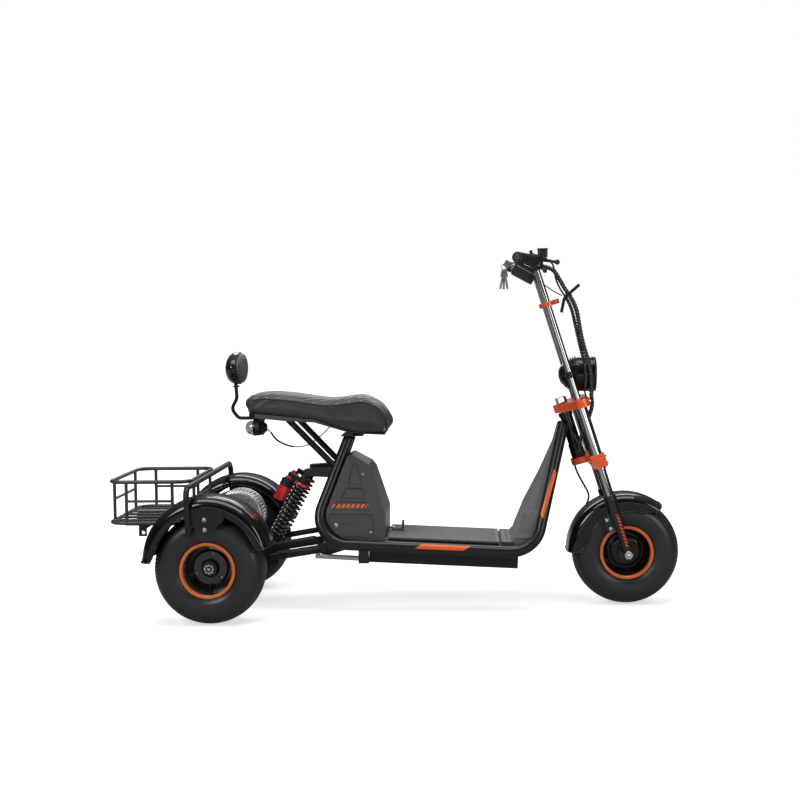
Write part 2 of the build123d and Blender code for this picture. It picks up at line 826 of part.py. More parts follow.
def axle_housing():
    """The axle tubes, the gear case under the motor and the stays of the rear fenders."""
    end = axle_y - hub_inner_reach - moving_gap - 1
    housing = cross_rod(0, tyre_radius, axle_tube_radius, -end, end)
    discs = [(0, tyre_radius, 62), (motor_centre[0], motor_centre[1], 52)]
    edges = [edge for x, z, radius in discs for edge in (Pos(x, z) * Circle(radius)).edges()]
    plane = Plane(origin=(0, 34, 0), x_dir=(1, 0, 0), z_dir=(0, -1, 0))
    housing = housing + extrude(plane * make_hull(edges), amount=68)
    housing = housing - motor_cylinder(motor_radius + fit_gap, motor_length / 2 + fit_gap)
    bore = half_shaft_radius + running_clearance
    inner = axle_y - hub_inner_reach - shaft_engagement - 4
    for side in (-1, 1):
        ends = sorted((side * inner, side * (end + 1)))
        housing = housing - cross_rod(0, tyre_radius, bore, *ends)
        skirt_y = side * (axle_y - fender_half_width - fit_gap)
        low, high = sorted((skirt_y, skirt_y - side * 4))
        stay_top = fender_top - 13
        stay = side_plate([(-20, tyre_radius), (4, tyre_radius), (4, stay_top), (-20, stay_top)], low, high)
        housing = housing + (stay - cross_rod(0, tyre_radius, bore, *ends))
    return housing


def motor_cylinder(radius, half_length):
    """A cylinder on the motor's axis, which lies to the right of the gear case."""
    x, z = motor_centre
    return cross_rod(x, z, radius, -half_length, half_length)


def drive_motor():
    """The motor: a drum with cooling fins round it and a flat cap at each end."""
    half = motor_length / 2
    profile = [(0, -half), (motor_radius - 22, -half), (motor_radius - 14, -half + 8)]
    fins = int((motor_length - 24) / fin_pitch)
    y = -fins * fin_pitch / 2
    for _ in range(fins):
        profile += [
            (motor_radius - fin_depth, y),
            (motor_radius, y + 1),
            (motor_radius, y + 4),
            (motor_radius - fin_depth, y + 5),
        ]
        y += fin_pitch
    profile += [(motor_radius - 14, half - 8), (motor_radius - 22, half), (0, half)]
    face = Plane.YZ * make_face(Polyline(*[(y, r) for r, y in profile], close=True))
    drum = revolve(face, Axis.Y)
    return Pos(motor_centre[0], 0, motor_centre[1]) * drum


def shock_frame(side):
    """A shock's own frame: z from its foot to its head, y along the scooter's Y."""
    foot = Vector(shock_foot[0], side * shock_y, shock_foot[1])
    head = Vector(shock_head[0], side * shock_y, shock_head[1])
    along = (head - foot).normalized()
    return Plane(origin=foot, x_dir=Vector(0, 1, 0).cross(along), z_dir=along)


def shock_length():
    return (Vector(*shock_head) - Vector(*shock_foot)).length


def shock_damper(side):
    """An eye at each end, a rod, a body, two spring seats and a threaded collar."""
    length = shock_length()
    frame = shock_frame(side)
    eye = Rot(90, 0, 0) * Cylinder(shock_eye_radius, shock_eye_width)
    hole = Rot(90, 0, 0) * Cylinder(shock_pin_radius + clamp_gap, shock_eye_width + 2)
    body = Pos(0, 0, length / 2) * Cylinder(8, length - 16)
    body = body + Pos(0, 0, spring_start - 5) * Cylinder(24, 5)
    body = body + Pos(0, 0, spring_end + 5) * Cylinder(24, 6)
    body = body + Pos(0, 0, (spring_end + length) / 2 - 30) * Cylinder(14.5, length - spring_end + 20)
    body = body + eye + Pos(0, 0, length) * eye
    bridge = Pos(-reservoir_offset / 2, 0, spring_end + 17) * Box(reservoir_offset, 18, 16)
    body = body + bridge
    body = body - hole - Pos(0, 0, length) * hole
    return frame * body


def shock_spring(side):
    """The coil spring, held a little clear of its two seats."""
    start = spring_start - 2.5 + spring_wire_radius + fit_gap
    height = spring_end + 2 - spring_wire_radius - fit_gap - start
    coil = Helix(height / spring_turns, height, spring_radius)
    section = Plane(origin=coil @ 0, z_dir=coil % 0) * Circle(spring_wire_radius)
    wire = sweep(section, path=coil, is_frenet=True)
    return shock_frame(side) * (Pos(0, 0, start) * wire)


def shock_reservoir(side):
    """The gas reservoir beside the shock's head."""
    top = reservoir_middle + reservoir_length / 2
    can = Pos(-reservoir_offset, 0, reservoir_middle) * Cylinder(reservoir_radius, reservoir_length)
    cap = Pos(-reservoir_offset, 0, top + 9) * Cylinder(reservoir_radius - 3, 18)
    cut = Pos(-reservoir_offset / 2, 0, spring_end + 17) * Box(
        reservoir_offset + 2 * fit_gap, 18 + 2 * fit_gap, 16 + 2 * fit_gap
    )
    return shock_frame(side) * ((can + cap) - cut)


# ---------------------------------------------------------------- rear body
def skirt_region(centre, radius, skirt, y_low, y_high):
    """What a fender's side keeps: a band under its crown whose depth is given at some angles."""
    x, z = centre
    line = [(radians(a), depth) for a, depth in dense(skirt)]
    rim_side = [(x + (radius + 2) * cos(a), z + (radius + 2) * sin(a)) for a, _ in line]
    tyre_side = [(x + (radius - depth) * cos(a), z + (radius - depth) * sin(a)) for a, depth in line]
    return side_plate([*rim_side, *tyre_side[::-1]], y_low, y_high)


def dense(skirt, step=8.0):
    """The skirt's (angle, depth) points, with more along its longer stretches."""
    points = [skirt[0]]
    for (a0, d0), (a1, d1) in zip(skirt, skirt[1:]):
        count = max(1, round((a1 - a0) / step))
        points += [(a0 + (a1 - a0) * k / count, d0 + (d1 - d0) * k / count) for k in range(1, count + 1)]
    return points


def arc_fender(centre, radius, half_width, right_skirt, left_skirt):
    """A bent channel round a wheel with its middle on Y = 0; each side has its own skirt."""
    deepest = max(depth for skirt in (right_skirt, left_skirt) for _, depth in skirt) + 4

    def line(inset):
        r, w = radius - inset, half_width - inset
        points = [(-w, radius - deepest), (-w, r), (w, r), (w, radius - deepest)]
        return FilletPolyline(*points, radius=fender_shoulder - inset)

    outer, inner = line(0), line(sheet)
    section = make_face(Curve() + [outer, inner, Line(outer @ 0, inner @ 0), Line(outer @ 1, inner @ 1)])
    start, end = right_skirt[0][0], right_skirt[-1][0]
    a = radians(start)
    plane = Plane(origin=(centre[0], 0, centre[1]), x_dir=(0, 1, 0), z_dir=(sin(a), 0, -cos(a)))
    axis = Axis((centre[0], 0, centre[1]), (0, -1, 0))
    channel = revolve(plane * section, axis, revolution_arc=end - start)
    kept = skirt_region(centre, radius, right_skirt, -half_width - 1, 0)
    kept = kept + skirt_region(centre, radius, left_skirt, 0, half_width + 1)
    return channel & kept


def rear_fender():
    """The right rear fender, with its deep skirt on the outside."""
    return Pos(0, -axle_y, 0) * arc_fender(
        fender_centre, fender_radius, fender_half_width, outer_skirt, inner_skirt
    )


def guard_hoop():
    """The hoop over both rear wheels, with the plates that its feet bolt to the fenders by."""
    points = [
        (hoop_x + 6, -hoop_y, hoop_foot),
        (hoop_x, -hoop_y, hoop_top),
        (hoop_x, hoop_y, hoop_top),
        (hoop_x + 6, hoop_y, hoop_foot),
    ]
    hoop = bent_tube(points, [hoop_bend_radius, hoop_bend_radius], hoop_radius)
    inside = hoop_y - hoop_radius
    outline = [(hoop_x, -75), (hoop_x, -33), (60, -33), (60, -65), (16, -103), (-10, -103)]
    plate = side_plate([(x, fender_top + z) for x, z in outline], -inside - 4, -inside)
    for x, z in ((-2, fender_top - 62), (0, fender_top - 95)):
        plate = plate + cross_rod(x, z, 5, -inside - 8, -inside - 3)
    return hoop + plate + mirrored(plate)


def basket_ring(z):
    """One closed rail round the basket."""
    path = FilletPolyline(
        (basket_rear_x, -basket_half_width, z),
        (basket_front_x, -basket_half_width, z),
        (basket_front_x, basket_half_width, z),
        (basket_rear_x, basket_half_width, z),
        radius=basket_corner_radius,
        close=True,
    )
    return sweep(Plane(origin=path @ 0, z_dir=path % 0) * Circle(basket_tube_radius), path=path)


def luggage_basket():
    """The floor of the basket: the lower rail and the bars across it."""
    floor = basket_ring(basket_bottom)
    for k in range(basket_floor_bars):
        y = basket_end_post_y * (2 * k / (basket_floor_bars - 1) - 1)
        start, end = (basket_rear_x, y, basket_bottom), (basket_front_x, y, basket_bottom)
        floor = floor + rod(start, end, thin_bar_radius)
    return floor


def basket_side(side):
    """Two posts on one side of the basket, with the middle rail between them."""
    y = side * basket_half_width
    rear, front = basket_side_posts
    frame = rod((rear, y, basket_middle), (front, y, basket_middle), thin_bar_radius)
    for x in basket_side_posts:
        frame = frame + rod((x, y, basket_bottom), (x, y, basket_top), basket_bar_radius)
    return frame - basket_ring(basket_bottom) - basket_ring(basket_top)


def basket_end(x):
    """Two posts at one end of the basket, with the middle rail between them."""
    frame = cross_rod(x, basket_middle, thin_bar_radius, -basket_end_post_y, basket_end_post_y)
    for y in (-basket_end_post_y, basket_end_post_y):
        frame = frame + rod((x, y, basket_bottom), (x, y, basket_top), basket_bar_radius)
    return frame - luggage_basket() - basket_ring(basket_top)


def basket_carrier():
    """Two arms from the axle to the basket's floor, a cross bar and its end tabs."""
    top = basket_bottom - basket_tube_radius - fit_gap
    low = top - carrier_bar
    outline = [
        (basket_rear_x + 20, low),
        (basket_rear_x + 20, top),
        (-50, top),
        (-8, 232),
        (-8, 196),
        (-30, 205),
        (-66, low),
    ]
    half = carrier_bar / 2
    arm = side_plate(outline, -carrier_y - half, -carrier_y + half)
    tab_x = -240
    carrier = arm + mirrored(arm)
    carrier = carrier + cross_rod(tab_x, top - 10, 8, -basket_half_width - 2, basket_half_width + 2)
    tab_outline = [(tab_x - 13, 264), (tab_x - 13, top), (tab_x + 13, top), (tab_x + 13, 264)]
    tab = side_plate(tab_outline, -basket_half_width - 2, -basket_half_width + 2)
    tab = tab - cross_rod(tab_x + 2, 276, tab_hole_radius, -300, 300)
    carrier = carrier + tab + mirrored(tab)
    return carrier - cross_rod(0, tyre_radius, axle_tube_radius + fit_gap, -200, 200)


def tail_lamp():
    """The round lamp under the rear of the seat: a domed lens, a finned body and a hanger."""
    r = lamp_radius
    outline = [
        (0, 0),
        (7, r - 18),
        (12, r - 10),
        (17, r - 5),
        (20, r),
        (33, r),
        (35, r - 4),
        (38, r),
        (41, r - 4),
        (44, r),
        (48, r - 6),
        (55, r - 13),
        (58, r - 15),
        (58, 0),
    ]
    lamp = revolve(Plane.XY * make_face(Polyline(*outline, close=True)), Axis.X)
    hanger = Pos(41, 0, r + 7) * Box(18, 24, 24)
    place = Pos(lamp_rear_x, 0, lamp_z)
    return place * lamp + (place * hanger - above_pan())


# ---------------------------------------------------------------- steering
def steering_stem():
    """The stem through the head tube, with the big nut on top of the upper yoke."""
    top = upper_yoke_top + 6
    stem = Pos(-fork_offset, 0, lower_yoke_step) * extrude(Circle(stem_radius), amount=top - lower_yoke_step)
    nut = Pos(-fork_offset, 0, upper_yoke_top) * extrude(RegularPolygon(19, 6), amount=20)
    return FORK * (stem + nut)


def lower_yoke():
    """The stepped lower yoke: a plate round the stem and a block lower down round each leg."""
    discs = [(-fork_offset, 0, 33), (-20, leg_y - 4, 22), (-20, 4 - leg_y, 22)]
    plate = Pos(0, 0, lower_yoke_step) * hull_plate(discs, lower_yoke_top - lower_yoke_step)
    collar = Pos(-fork_offset, 0, lower_yoke_top) * extrude(Circle(24), amount=6)
    yoke = plate + collar
    for side in (-1, 1):
        block = Box(62, 52, lower_yoke_step - lower_yoke_bottom + 8)
        block = fillet(block.edges().filter_by(Axis.Z), 8)
        yoke = yoke + Pos(0, side * leg_y, (lower_yoke_bottom + lower_yoke_step) / 2 + 4) * block
        pinch = Pos(26, side * (leg_y + 22), lower_yoke_bottom + 25) * Rot(90, 0, 0) * Cylinder(5, 14)
        yoke = yoke + pinch
        yoke = yoke - Pos(0, side * leg_y, 250) * extrude(Circle(outer_tube_radius + clamp_gap), amount=200)
    yoke = yoke - Pos(-fork_offset, 0, 250) * extrude(Circle(stem_radius + clamp_gap), amount=200)
    return FORK * yoke


def upper_yoke():
    """The flat upper yoke over the head tube."""
    discs = [(-fork_offset, 0, 33), (6, leg_y, 28), (6, -leg_y, 28)]
    yoke = hull_plate(discs, upper_yoke_thickness)
    for side in (-1, 1):
        yoke = yoke - Pos(0, side * leg_y, 0) * extrude(Circle(outer_tube_radius + clamp_gap), amount=18)
        yoke = yoke - Pos(0, side * riser_y, 0) * extrude(Circle(riser_radius + clamp_gap), amount=60)
    yoke = yoke - Pos(-fork_offset, 0, 0) * extrude(Circle(stem_radius + clamp_gap), amount=60)
    return FORK * (Pos(0, 0, upper_yoke_bottom) * yoke)


def bar_yoke():
    """The small yoke that ties the two risers together below the handlebar."""
    discs = [(0, riser_y, 20), (0, -riser_y, 20), (26, 40, 16), (26, -40, 16)]
    yoke = hull_plate(discs, bar_yoke_thickness)
    for side in (-1, 1):
        yoke = yoke - Pos(0, side * riser_y, 0) * extrude(Circle(riser_radius + clamp_gap), amount=60)
    return FORK * (Pos(0, 0, bar_yoke_bottom) * yoke)


def fork_tubes():
    """The stanchion and outer tube of each leg, and the two risers up to the bar."""
    stanchion_end = slider_top - stanchion_engagement + fit_gap
    outline = [
        (0, stanchion_end),
        (stanchion_radius, stanchion_end),
        (stanchion_radius, lower_yoke_bottom + 4),
        (outer_tube_radius, lower_yoke_bottom + 4),
        (outer_tube_radius, upper_yoke_bottom + 17),
        (0, upper_yoke_bottom + 17),
    ]
    leg = Pos(0, leg_y, 0) * revolve(Plane.XZ * make_face(Polyline(*outline, close=True)), Axis.Z)
    riser_top = bar_height_on_fork - bar_radius - 14
    riser_length = riser_top - upper_yoke_bottom
    riser = Pos(0, riser_y, upper_yoke_bottom) * extrude(Circle(riser_radius), amount=riser_length)
    return both_sides(FORK * group(leg, riser))


def fork_slider():
    """A tapered slider with its stanchion bore and the lug that holds the axle."""
    bore = stanchion_radius + fit_gap
    bottom = slider_top - stanchion_engagement
    outline = [
        (0, 8),
        (slider_foot_radius - 2, 8),
        (slider_foot_radius, 40),
        (slider_top_radius, slider_top - 20),
        (slider_top_radius + 1.5, slider_top - 18),
        (slider_top_radius + 1.5, slider_top),
        (bore, slider_top),
        (bore, bottom),
        (0, bottom),
    ]
    slider = revolve(Plane.XZ * make_face(Polyline(*outline, close=True)), Axis.Z)
    lug = Rot(90, 0, 0) * Cylinder(axle_lug_radius, axle_lug_width)
    hole = Rot(90, 0, 0) * Cylinder(front_axle_radius + clamp_gap, axle_lug_width + 2)
    leg = Pos(0, leg_y, 0) * (slider + lug - hole)
    inner = front_fender_half_width + 3 + fit_gap
    tab = Pos(-23, inner + 3, 115) * Box(34, 6, 56)
    for s in (99, 130):
        tab = tab + Pos(-30, inner + 7, s) * Rot(90, 0, 0) * Cylinder(6, 6)
    return FORK * (leg + tab)


def front_axle():
    """The axle through both sliders, with a nut at each end."""
    face = leg_y + axle_lug_width / 2 + fit_gap
    end = face + axle_nut_thickness + 3
    axle = cross_rod(wheelbase, tyre_radius, front_axle_radius, -end, end)
    for side in (-1, 1):
        plane = Plane(origin=(wheelbase, side * face, tyre_radius), x_dir=(1, 0, 0), z_dir=(0, side, 0))
        axle = axle + extrude(plane * RegularPolygon(14, 6), amount=axle_nut_thickness)
    return axle


def front_fender():
    """The front fender, with the plate on each side that bolts to the slider."""
    shell = arc_fender(
        (wheelbase, tyre_radius), front_fender_radius, front_fender_half_width, front_skirt, front_skirt
    )
    outline = [(-21, 86), (-21, 150), (-44, 178), (-76, 160), (-62, 138), (-40, 90)]
    points = [on_fork(s, p) for p, s in outline]
    face = front_fender_half_width - 1
    plate = side_plate([(point.X, point.Z) for point in points], -face - 4, -face)
    return shell + plate + mirrored(plate)


def headlight():
    """The round headlight between the risers, on two arms that clamp them."""
    span = light_front_x - light_rear_x
    plane = Plane(origin=(light_rear_x, 0, light_height), x_dir=(1, 0, 0), z_dir=(0, -1, 0))
    profile = make_face(
        Curve()
        + [
            Line((0, 0), (span, 0)),
            Line((span, 0), (span, light_radius - 6)),
            Line((span, light_radius - 6), (span - 8, light_radius)),
            Line((span - 8, light_radius), (span - 48, light_radius)),
            Spline((span - 48, light_radius), (26, 44), (0, 0), tangents=[(-1, 0), (0, -1)]),
        ]
    )
    light = revolve(plane * profile, Axis((0, 0, light_height), (1, 0, 0)))
    s_light = (light_height - tyre_radius) / cos(radians(rake))
    for side in (-1, 1):
        clamp = Pos(0, side * riser_y, s_light) * Cylinder(riser_radius + 5, 22)
        arm = Pos(16, side * (riser_y - 10), s_light) * Box(24, 10, 16)
        light = light + FORK * (clamp + arm)
        light = light - FORK * (Pos(0, side * riser_y, s_light) * Cylinder(riser_radius + clamp_gap, 60))
    return light


def bar_points():
    """The handlebar's centre line from its right end to its left end."""
    middle = on_fork(bar_height_on_fork, bar_lead)
    x, z = middle.X, middle.Z
    return [
        (x - bar_sweep, -bar_half_width, z + 4),
        (x, -bar_bend_y, z),
        (x, bar_bend_y, z),
        (x - bar_sweep, bar_half_width, z + 4),
    ]


def bar_at(y):
    """The point on the bar's right outer run at a distance from the middle."""
    end, bend = Vector(*bar_points()[0]), Vector(*bar_points()[1])
    return bend + (end - bend) * ((y - bar_bend_y) / (bar_half_width - bar_bend_y))


def handlebar():
    """The bar, with a clamp block on top of each riser."""
    bar = bent_tube(bar_points(), [bar_bend_radius, bar_bend_radius], bar_radius)
    middle = on_fork(bar_height_on_fork, bar_lead)
    for side in (-1, 1):
        bar = bar + cross_rod(middle.X, middle.Z, bar_radius + 8, side * riser_y - 15, side * riser_y + 15)
        foot = Pos(4, side * riser_y, bar_height_on_fork - bar_radius - 9) * Box(30, 28, 10)
        bar = bar + FORK * foot
    return bar


def grip():
    """The right grip round the bar's outer run."""
    outer = bar_at(bar_half_width + 3)
    inner = bar_at(bar_half_width - grip_length)
    body = rod(inner, outer, grip_radius)
    flange = rod(bar_at(bar_half_width - 4), outer, grip_radius + 2)
    return body + flange - rod(inner - (outer - inner), bar_at(bar_half_width), bar_radius + clamp_gap)


def bar_control(sign):
    """A side's brake lever and switch housing, each clamped round the bar; sign is +1 or -1 along Y."""
    at = bar_at(perch_y)
    along = (bar_at(bar_half_width) - bar_at(bar_bend_y)).normalized()
    perch = rod(at - along * 10, at + along * 10, bar_radius + 6)
    arm = Pos(at.X + 20, at.Y, at.Z + 1) * Box(30, 20, 12)
    tank = Pos(at.X + 20, at.Y - 6, at.Z + 22) * fillet(Box(30, 44, 24).edges().filter_by(Axis.Z), 6)
    lid = Pos(at.X + 20, at.Y - 6, at.Z + 35.5) * fillet(Box(33, 47, 3).edges().filter_by(Axis.Z), 7)
    post = Pos(at.X + 14, at.Y, at.Z + 9) * Box(18, 16, 14)
    blade = bent_tube(
        [
            (at.X + 28, at.Y - 2, at.Z - 1),
            (at.X + 47, at.Y - 34, at.Z - 4),
            (at.X + 47, at.Y - 84, at.Z - 8),
            (at.X + 58, at.Y - 127, at.Z - 12),
        ],
        [16, 40],
        5,
    )
    tip = Pos(at.X + 58, at.Y - 127, at.Z - 12) * Sphere(8.5)
    housing_at = bar_at(perch_y + 16)
    housing = rod(housing_at - along * 4, housing_at + along * 8, bar_radius + 9)
    knob = rod(housing_at + Vector(-8, 0, 16), housing_at + Vector(-12, 0, 31), 5)
    button = rod(housing_at + Vector(-14, 0, 8), housing_at + Vector(-24, 0, 10), 5)
    control = perch + arm + tank + lid + post + blade + tip + housing + knob + button
    control = control - rod(at - along * 60, at + along * 60, bar_radius + clamp_gap)
    return control if sign < 0 else mirrored(control)


def dash():
    """The display box under the middle of the bar, facing the rider, on two clamps."""
    case = fillet(Box(dash_length, dash_width, dash_depth).edges().filter_by(Axis.X), 9)
    bezel = fillet(Box(5, dash_width - 8, dash_depth - 8).edges().filter_by(Axis.X), 6)
    box = DASH * (case + Pos(-dash_length / 2 - 1.5, 0, 0) * bezel)
    middle = on_fork(bar_height_on_fork, bar_lead)
    for side in (-1, 1):
        box = box + cross_rod(middle.X, middle.Z, bar_radius + 4, side * 16 - 6, side * 16 + 6)
        box = box + DASH * Pos(dash_bar_x, side * 16, dash_depth / 2 + 11) * Box(14, 12, 26)
    return box - cross_rod(middle.X, middle.Z, bar_radius + clamp_gap, -60, 60)


def key_switch():
    """The key switch in the face of the display, its key, and the bunch that hangs from it."""
    face = -dash_length / 2 - 4
    barrel = DASH * rod((face, -20, 0), (face - 7, -20, 0), 11)
    key = DASH * Pos(face - 12, -20, 0) * Box(12, 2.6, 6) + DASH * Pos(face - 24, -20, -1) * Box(20, 2.6, 22)
    bow = DASH.from_local_coords(Vector(face - 30, -20, -6))
    ring = Pos(bow.X - 2, bow.Y, bow.Z - 9) * Rot(90, 0, 0) * Torus(10, 1.2)
    bunch = barrel + key + ring
    for turn, across in ((-9, -3.5), (2, 0), (12, 3.5)):
        head = Pos(0, across, -13) * fillet(Box(17, 4.4, 28).edges().filter_by(Axis.Y), 5)
        blade = Pos(0, across, -46) * Box(7, 2, 40)
        bunch = bunch + Pos(bow.X - 2, bow.Y, bow.Z - 17) * Rot(0, turn, 0) * (head + blade)
    return bunch


def cable_strap():
    """The strap that ties the brake cable to the bundle, with its two loose tails."""
    top, foot = (Vector(*bundle_route[i]) for i in strap_on_bundle)
    above, below = (Vector(*brake_cable_route[i]) for i in strap_on_cable)
    place = Plane(origin=(top + foot) / 2, x_dir=(1, 0, 0), z_dir=top - foot)
    beside = place.to_local_coords((above + below) / 2)

    def loop(extra):
        second = Pos(beside.X, beside.Y) * Circle(cable_radius + extra)
        return make_hull(Circle(bundle_radius + extra).edges() + second.edges())

    band = extrude(loop(2.3), amount=5, both=True)
    tail = Pos(28, 0, 3) * Rot(0, -6, 0) * Box(39, 2, 10)
    hanging = Pos(beside.X - 23, beside.Y, -19) * Rot(0, -44, 0) * Box(50, 2, 10)
    return FORK * place * (band + tail + hanging - extrude(loop(0.5), amount=30, both=True))


# ---------------------------------------------------------------- moving odds and ends
def side_stand():
    """The stand's leg, folded back under the right rail, with its pivot eye and foot."""
    x, z, y = stand_pivot_x, stand_pivot_z, stand_y
    eye = cross_rod(x, z, 12, y - 9, y + 9)
    leg = rod((x, y, z), (x - stand_length, y, z + 9), stand_radius)
    foot = Pos(x - stand_length, y, z + 9) * Box(14, 30, 12)
    return eye + leg + foot - cross_rod(x, z, 5 + running_clearance, y - 30, y + 30)


# ---------------------------------------------------------------- cords
# The steering's two cords, as (ahead of the legs, across, along the fork).
bundle_route = [
    (22.5, -34, 991.8),
    (54, -40, 974),
    (63, -47, 938),
    (71, -54, 895),
    (83, -61, 856),
    (86, -66, 815),
    (80, -69, 775),
    (74, -71, 735),
    (71, -71, 690),
    (72, -70, 640),
    (63, -68, 580),
    (45.3, -60, 532),
    (42.2, -56, 502),
    (14, -57, 462),
    (-14, -56, 428),
    (-33, -55, 404),
    (-43, -54.5, 387),
    (-43, -54.5, 368.3),
]
brake_cable_route = [
    (31, -189.9, 1001.5),
    (36, -172, 1000),
    (46, -145, 994),
    (54, -114, 981),
    (54, -84, 962),
    (51, -62, 933),
    (57.3, -48, 895),
    (69.3, -55, 856),
    (72, -56, 820),
    (68, -57, 780),
    (64, -58, 735),
    (60, -60, 690),
    (58, -64.5, 640),
    (50, -64.5, 602),
    (41, -60, 577),
    (31, -50, 558),
    (30, -46, 548),
    (30, -46, 535.4),
]
dash_lead_route = [
    (-11, -20, 959.9),
    (-3, -20.8, 950.5),
    (9, -26, 934),
    (22, -34, 915.5),
    (35, -42, 899),
    (46, -47.5, 886.5),
    (55.8, -50.6, 877.5),
]
hose_route = [
    (-72, -14, 336.7),
    (-75, -24, 312),
    (-71, -34, 284),
    (-65, -42, 254),
    (-59, -47, 226),
    (-66, -50, 205),
    (-83, -52, 187),
    (-97, -54, 173),
]
lead_route = [
    (143.1, 0, 593),
    (152, -1, 588.5),
    (162, -3, 573),
    (176, -6, 556),
    (206, -10, 541),
    (240, -12, 533),
    (274, -12, 537),
    (306, -10, 555),
    (336, -8, 580),
    (362, -8, 606),
]


def cord(route, radius, name):
    """A cord's tube: straight runs joined by arcs as large as the runs allow."""
    points = [Vector(*point) for point in route]
    radii = []
    for before, corner, after in zip(points, points[1:], points[2:]):
        shorter = min((corner - before).length, (after - corner).length)
        turn = radians((corner - before).get_angle(after - corner))
        radii.append(0.45 * shorter / tan(turn / 2))
    print(name, "bend radii", [round(value) for value in radii])
    return bent_tube(route, radii, radius)


# ---------------------------------------------------------------- the whole scooter
def build():
    """Every sub-part by the name of its node."""
    axle_at_front = Pos(wheelbase, 0, 0)
    right_rail = frame_rail()
    fender = rear_fender()
    return {
        "frame_rail_right": right_rail,
        "frame_rail_left": mirrored(right_rail),
        "frame_cross_members": frame_cross_members(),
        "head_tube": head_tube(),
        "seat_struts": seat_struts(),
        "seat_pan": seat_pan(),
        "seat": seat(),
        "backrest_rod": backrest_rod(),
        "backrest_pad": backrest_pad(),
        "floor_tray": floor_tray(),
        "leg_shield": leg_shield(),
        "body_cover": body_cover(),
        "battery_box": battery_box(),
        "battery_pack": battery_pack(),
        "floor_lid": floor_lid(),
        "swing_arm": swing_arm(),
        "axle_housing": axle_housing(),
        "drive_motor": drive_motor(),
        "shock_dampers": group(shock_damper(-1), shock_damper(1)),
        "shock_springs": group(shock_spring(-1), shock_spring(1)),
        "shock_reservoirs": group(shock_reservoir(-1), shock_reservoir(1)),
        "rear_fender_right": fender,
        "rear_fender_left": mirrored(fender),
        "guard_hoop": guard_hoop(),
        "luggage_basket": luggage_basket(),
        "basket_sides": group(basket_side(-1), basket_side(1)),
        "basket_ends": group(basket_end(basket_rear_x), basket_end(basket_front_x)),
        "basket_rail": basket_ring(basket_top),
        "basket_carrier": basket_carrier(),
        "tail_lamp": tail_lamp(),
        "steering_stem": steering_stem(),
        "lower_yoke": lower_yoke(),
        "upper_yoke": upper_yoke(),
        "bar_yoke": bar_yoke(),
        "fork_tubes": fork_tubes(),
        "fork_sliders": both_sides(fork_slider()),
        "front_axle": front_axle(),
        "front_fender": front_fender(),
        "headlight": headlight(),
        "handlebar": handlebar(),
        "grips": both_sides(grip()),
        "bar_controls": group(bar_control(-1), bar_control(1)),
        "dash": dash(),
        "cable_strap": cable_strap(),
        "key_switch": key_switch(),
        "front_tyre": axle_at_front * tyre(0),
        "front_rim": axle_at_front * rim(0, front_hub_radius, front_axle_radius + running_clearance, -1),
        "rear_tyre_right": tyre(-axle_y),
        "rear_rim_right": rear_rim(-1),
        "rear_tyre_left": tyre(axle_y),
        "rear_rim_left": rear_rim(1),
        "side_stand": side_stand(),
        "cable_bundle": FORK * cord(bundle_route, bundle_radius, "cable_bundle"),
        "brake_cable": FORK * cord(brake_cable_route, cable_radius, "brake_cable"),
        "dash_lead": FORK * cord(dash_lead_route, lead_radius, "dash_lead"),
        "front_brake_hose": FORK * cord(hose_route, hose_radius, "front_brake_hose"),
        "tail_lamp_lead": cord(lead_route, lead_radius, "tail_lamp_lead"),
    }


def main():
    nodes = build()
    outline = group(*nodes.values()).bounding_box()
    to_origin = Pos(-(outline.min.X + outline.max.X) / 2, 0, 0)
    print("moved by", to_origin.position, "from", outline)
    os.makedirs("parts", exist_ok=True)
    for name, shape in nodes.items():
        export_step(to_origin * shape, f"parts/{name}.step")


if __name__ == "__main__":
    main()
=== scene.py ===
"""The looks of an electric three-wheel scooter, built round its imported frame.

Lengths in the drawings below are in millimetres, in the scooter's drawing frame: x forward from the rear
axle, y to the left and z up from the ground. `row` turns them into the frame's metres. The fork has its own
frame, with p ahead of the fork legs, y to the left and s up along the legs from the front axle.
"""

import logging
from dataclasses import dataclass, field
from enum import Enum
from math import atan2, cos, pi, radians, sin

import bmesh
import bpy
import numpy as np
from bpy.types import ID, Material, Mesh, Node, NodeTree, Object
from bpy.types import NodeSocket as Socket
from mathutils import Matrix, Vector


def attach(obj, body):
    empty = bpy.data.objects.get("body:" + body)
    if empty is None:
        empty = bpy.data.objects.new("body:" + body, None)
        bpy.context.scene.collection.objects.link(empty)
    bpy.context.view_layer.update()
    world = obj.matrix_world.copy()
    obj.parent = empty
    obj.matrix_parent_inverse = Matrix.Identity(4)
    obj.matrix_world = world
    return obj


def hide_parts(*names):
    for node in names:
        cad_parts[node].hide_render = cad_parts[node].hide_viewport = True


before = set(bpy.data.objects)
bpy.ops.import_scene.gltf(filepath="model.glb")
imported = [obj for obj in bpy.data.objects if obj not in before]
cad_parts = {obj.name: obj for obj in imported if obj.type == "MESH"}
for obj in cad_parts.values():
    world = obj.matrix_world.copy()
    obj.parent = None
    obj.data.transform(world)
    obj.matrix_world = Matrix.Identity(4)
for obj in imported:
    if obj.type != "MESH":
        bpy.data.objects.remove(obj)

log = logging.getLogger("scooter")

Array = np.ndarray
Colour = tuple[float, float, float]
Point = tuple[float, float, float]

REAR_AXLE_TO_MIDDLE = 583.5
RAKE = radians(17.3)
FLOOR_TILT = radians(2.8)
TYRE_RADIUS = 177.5
FRONT_AXLE = (1345.0, 0.0, TYRE_RADIUS)
HALF_TRACK = 312.0
FLOOR_MIDDLE = (735.0, 0.0, 209.5)


def row(points: Array | Point) -> Array:
    """Turn drawing points into the frame's metres, whose origin is under the middle of the wheelbase."""
    return (np.asarray(points, float) - (REAR_AXLE_TO_MIDDLE, 0, 0)) / 1000


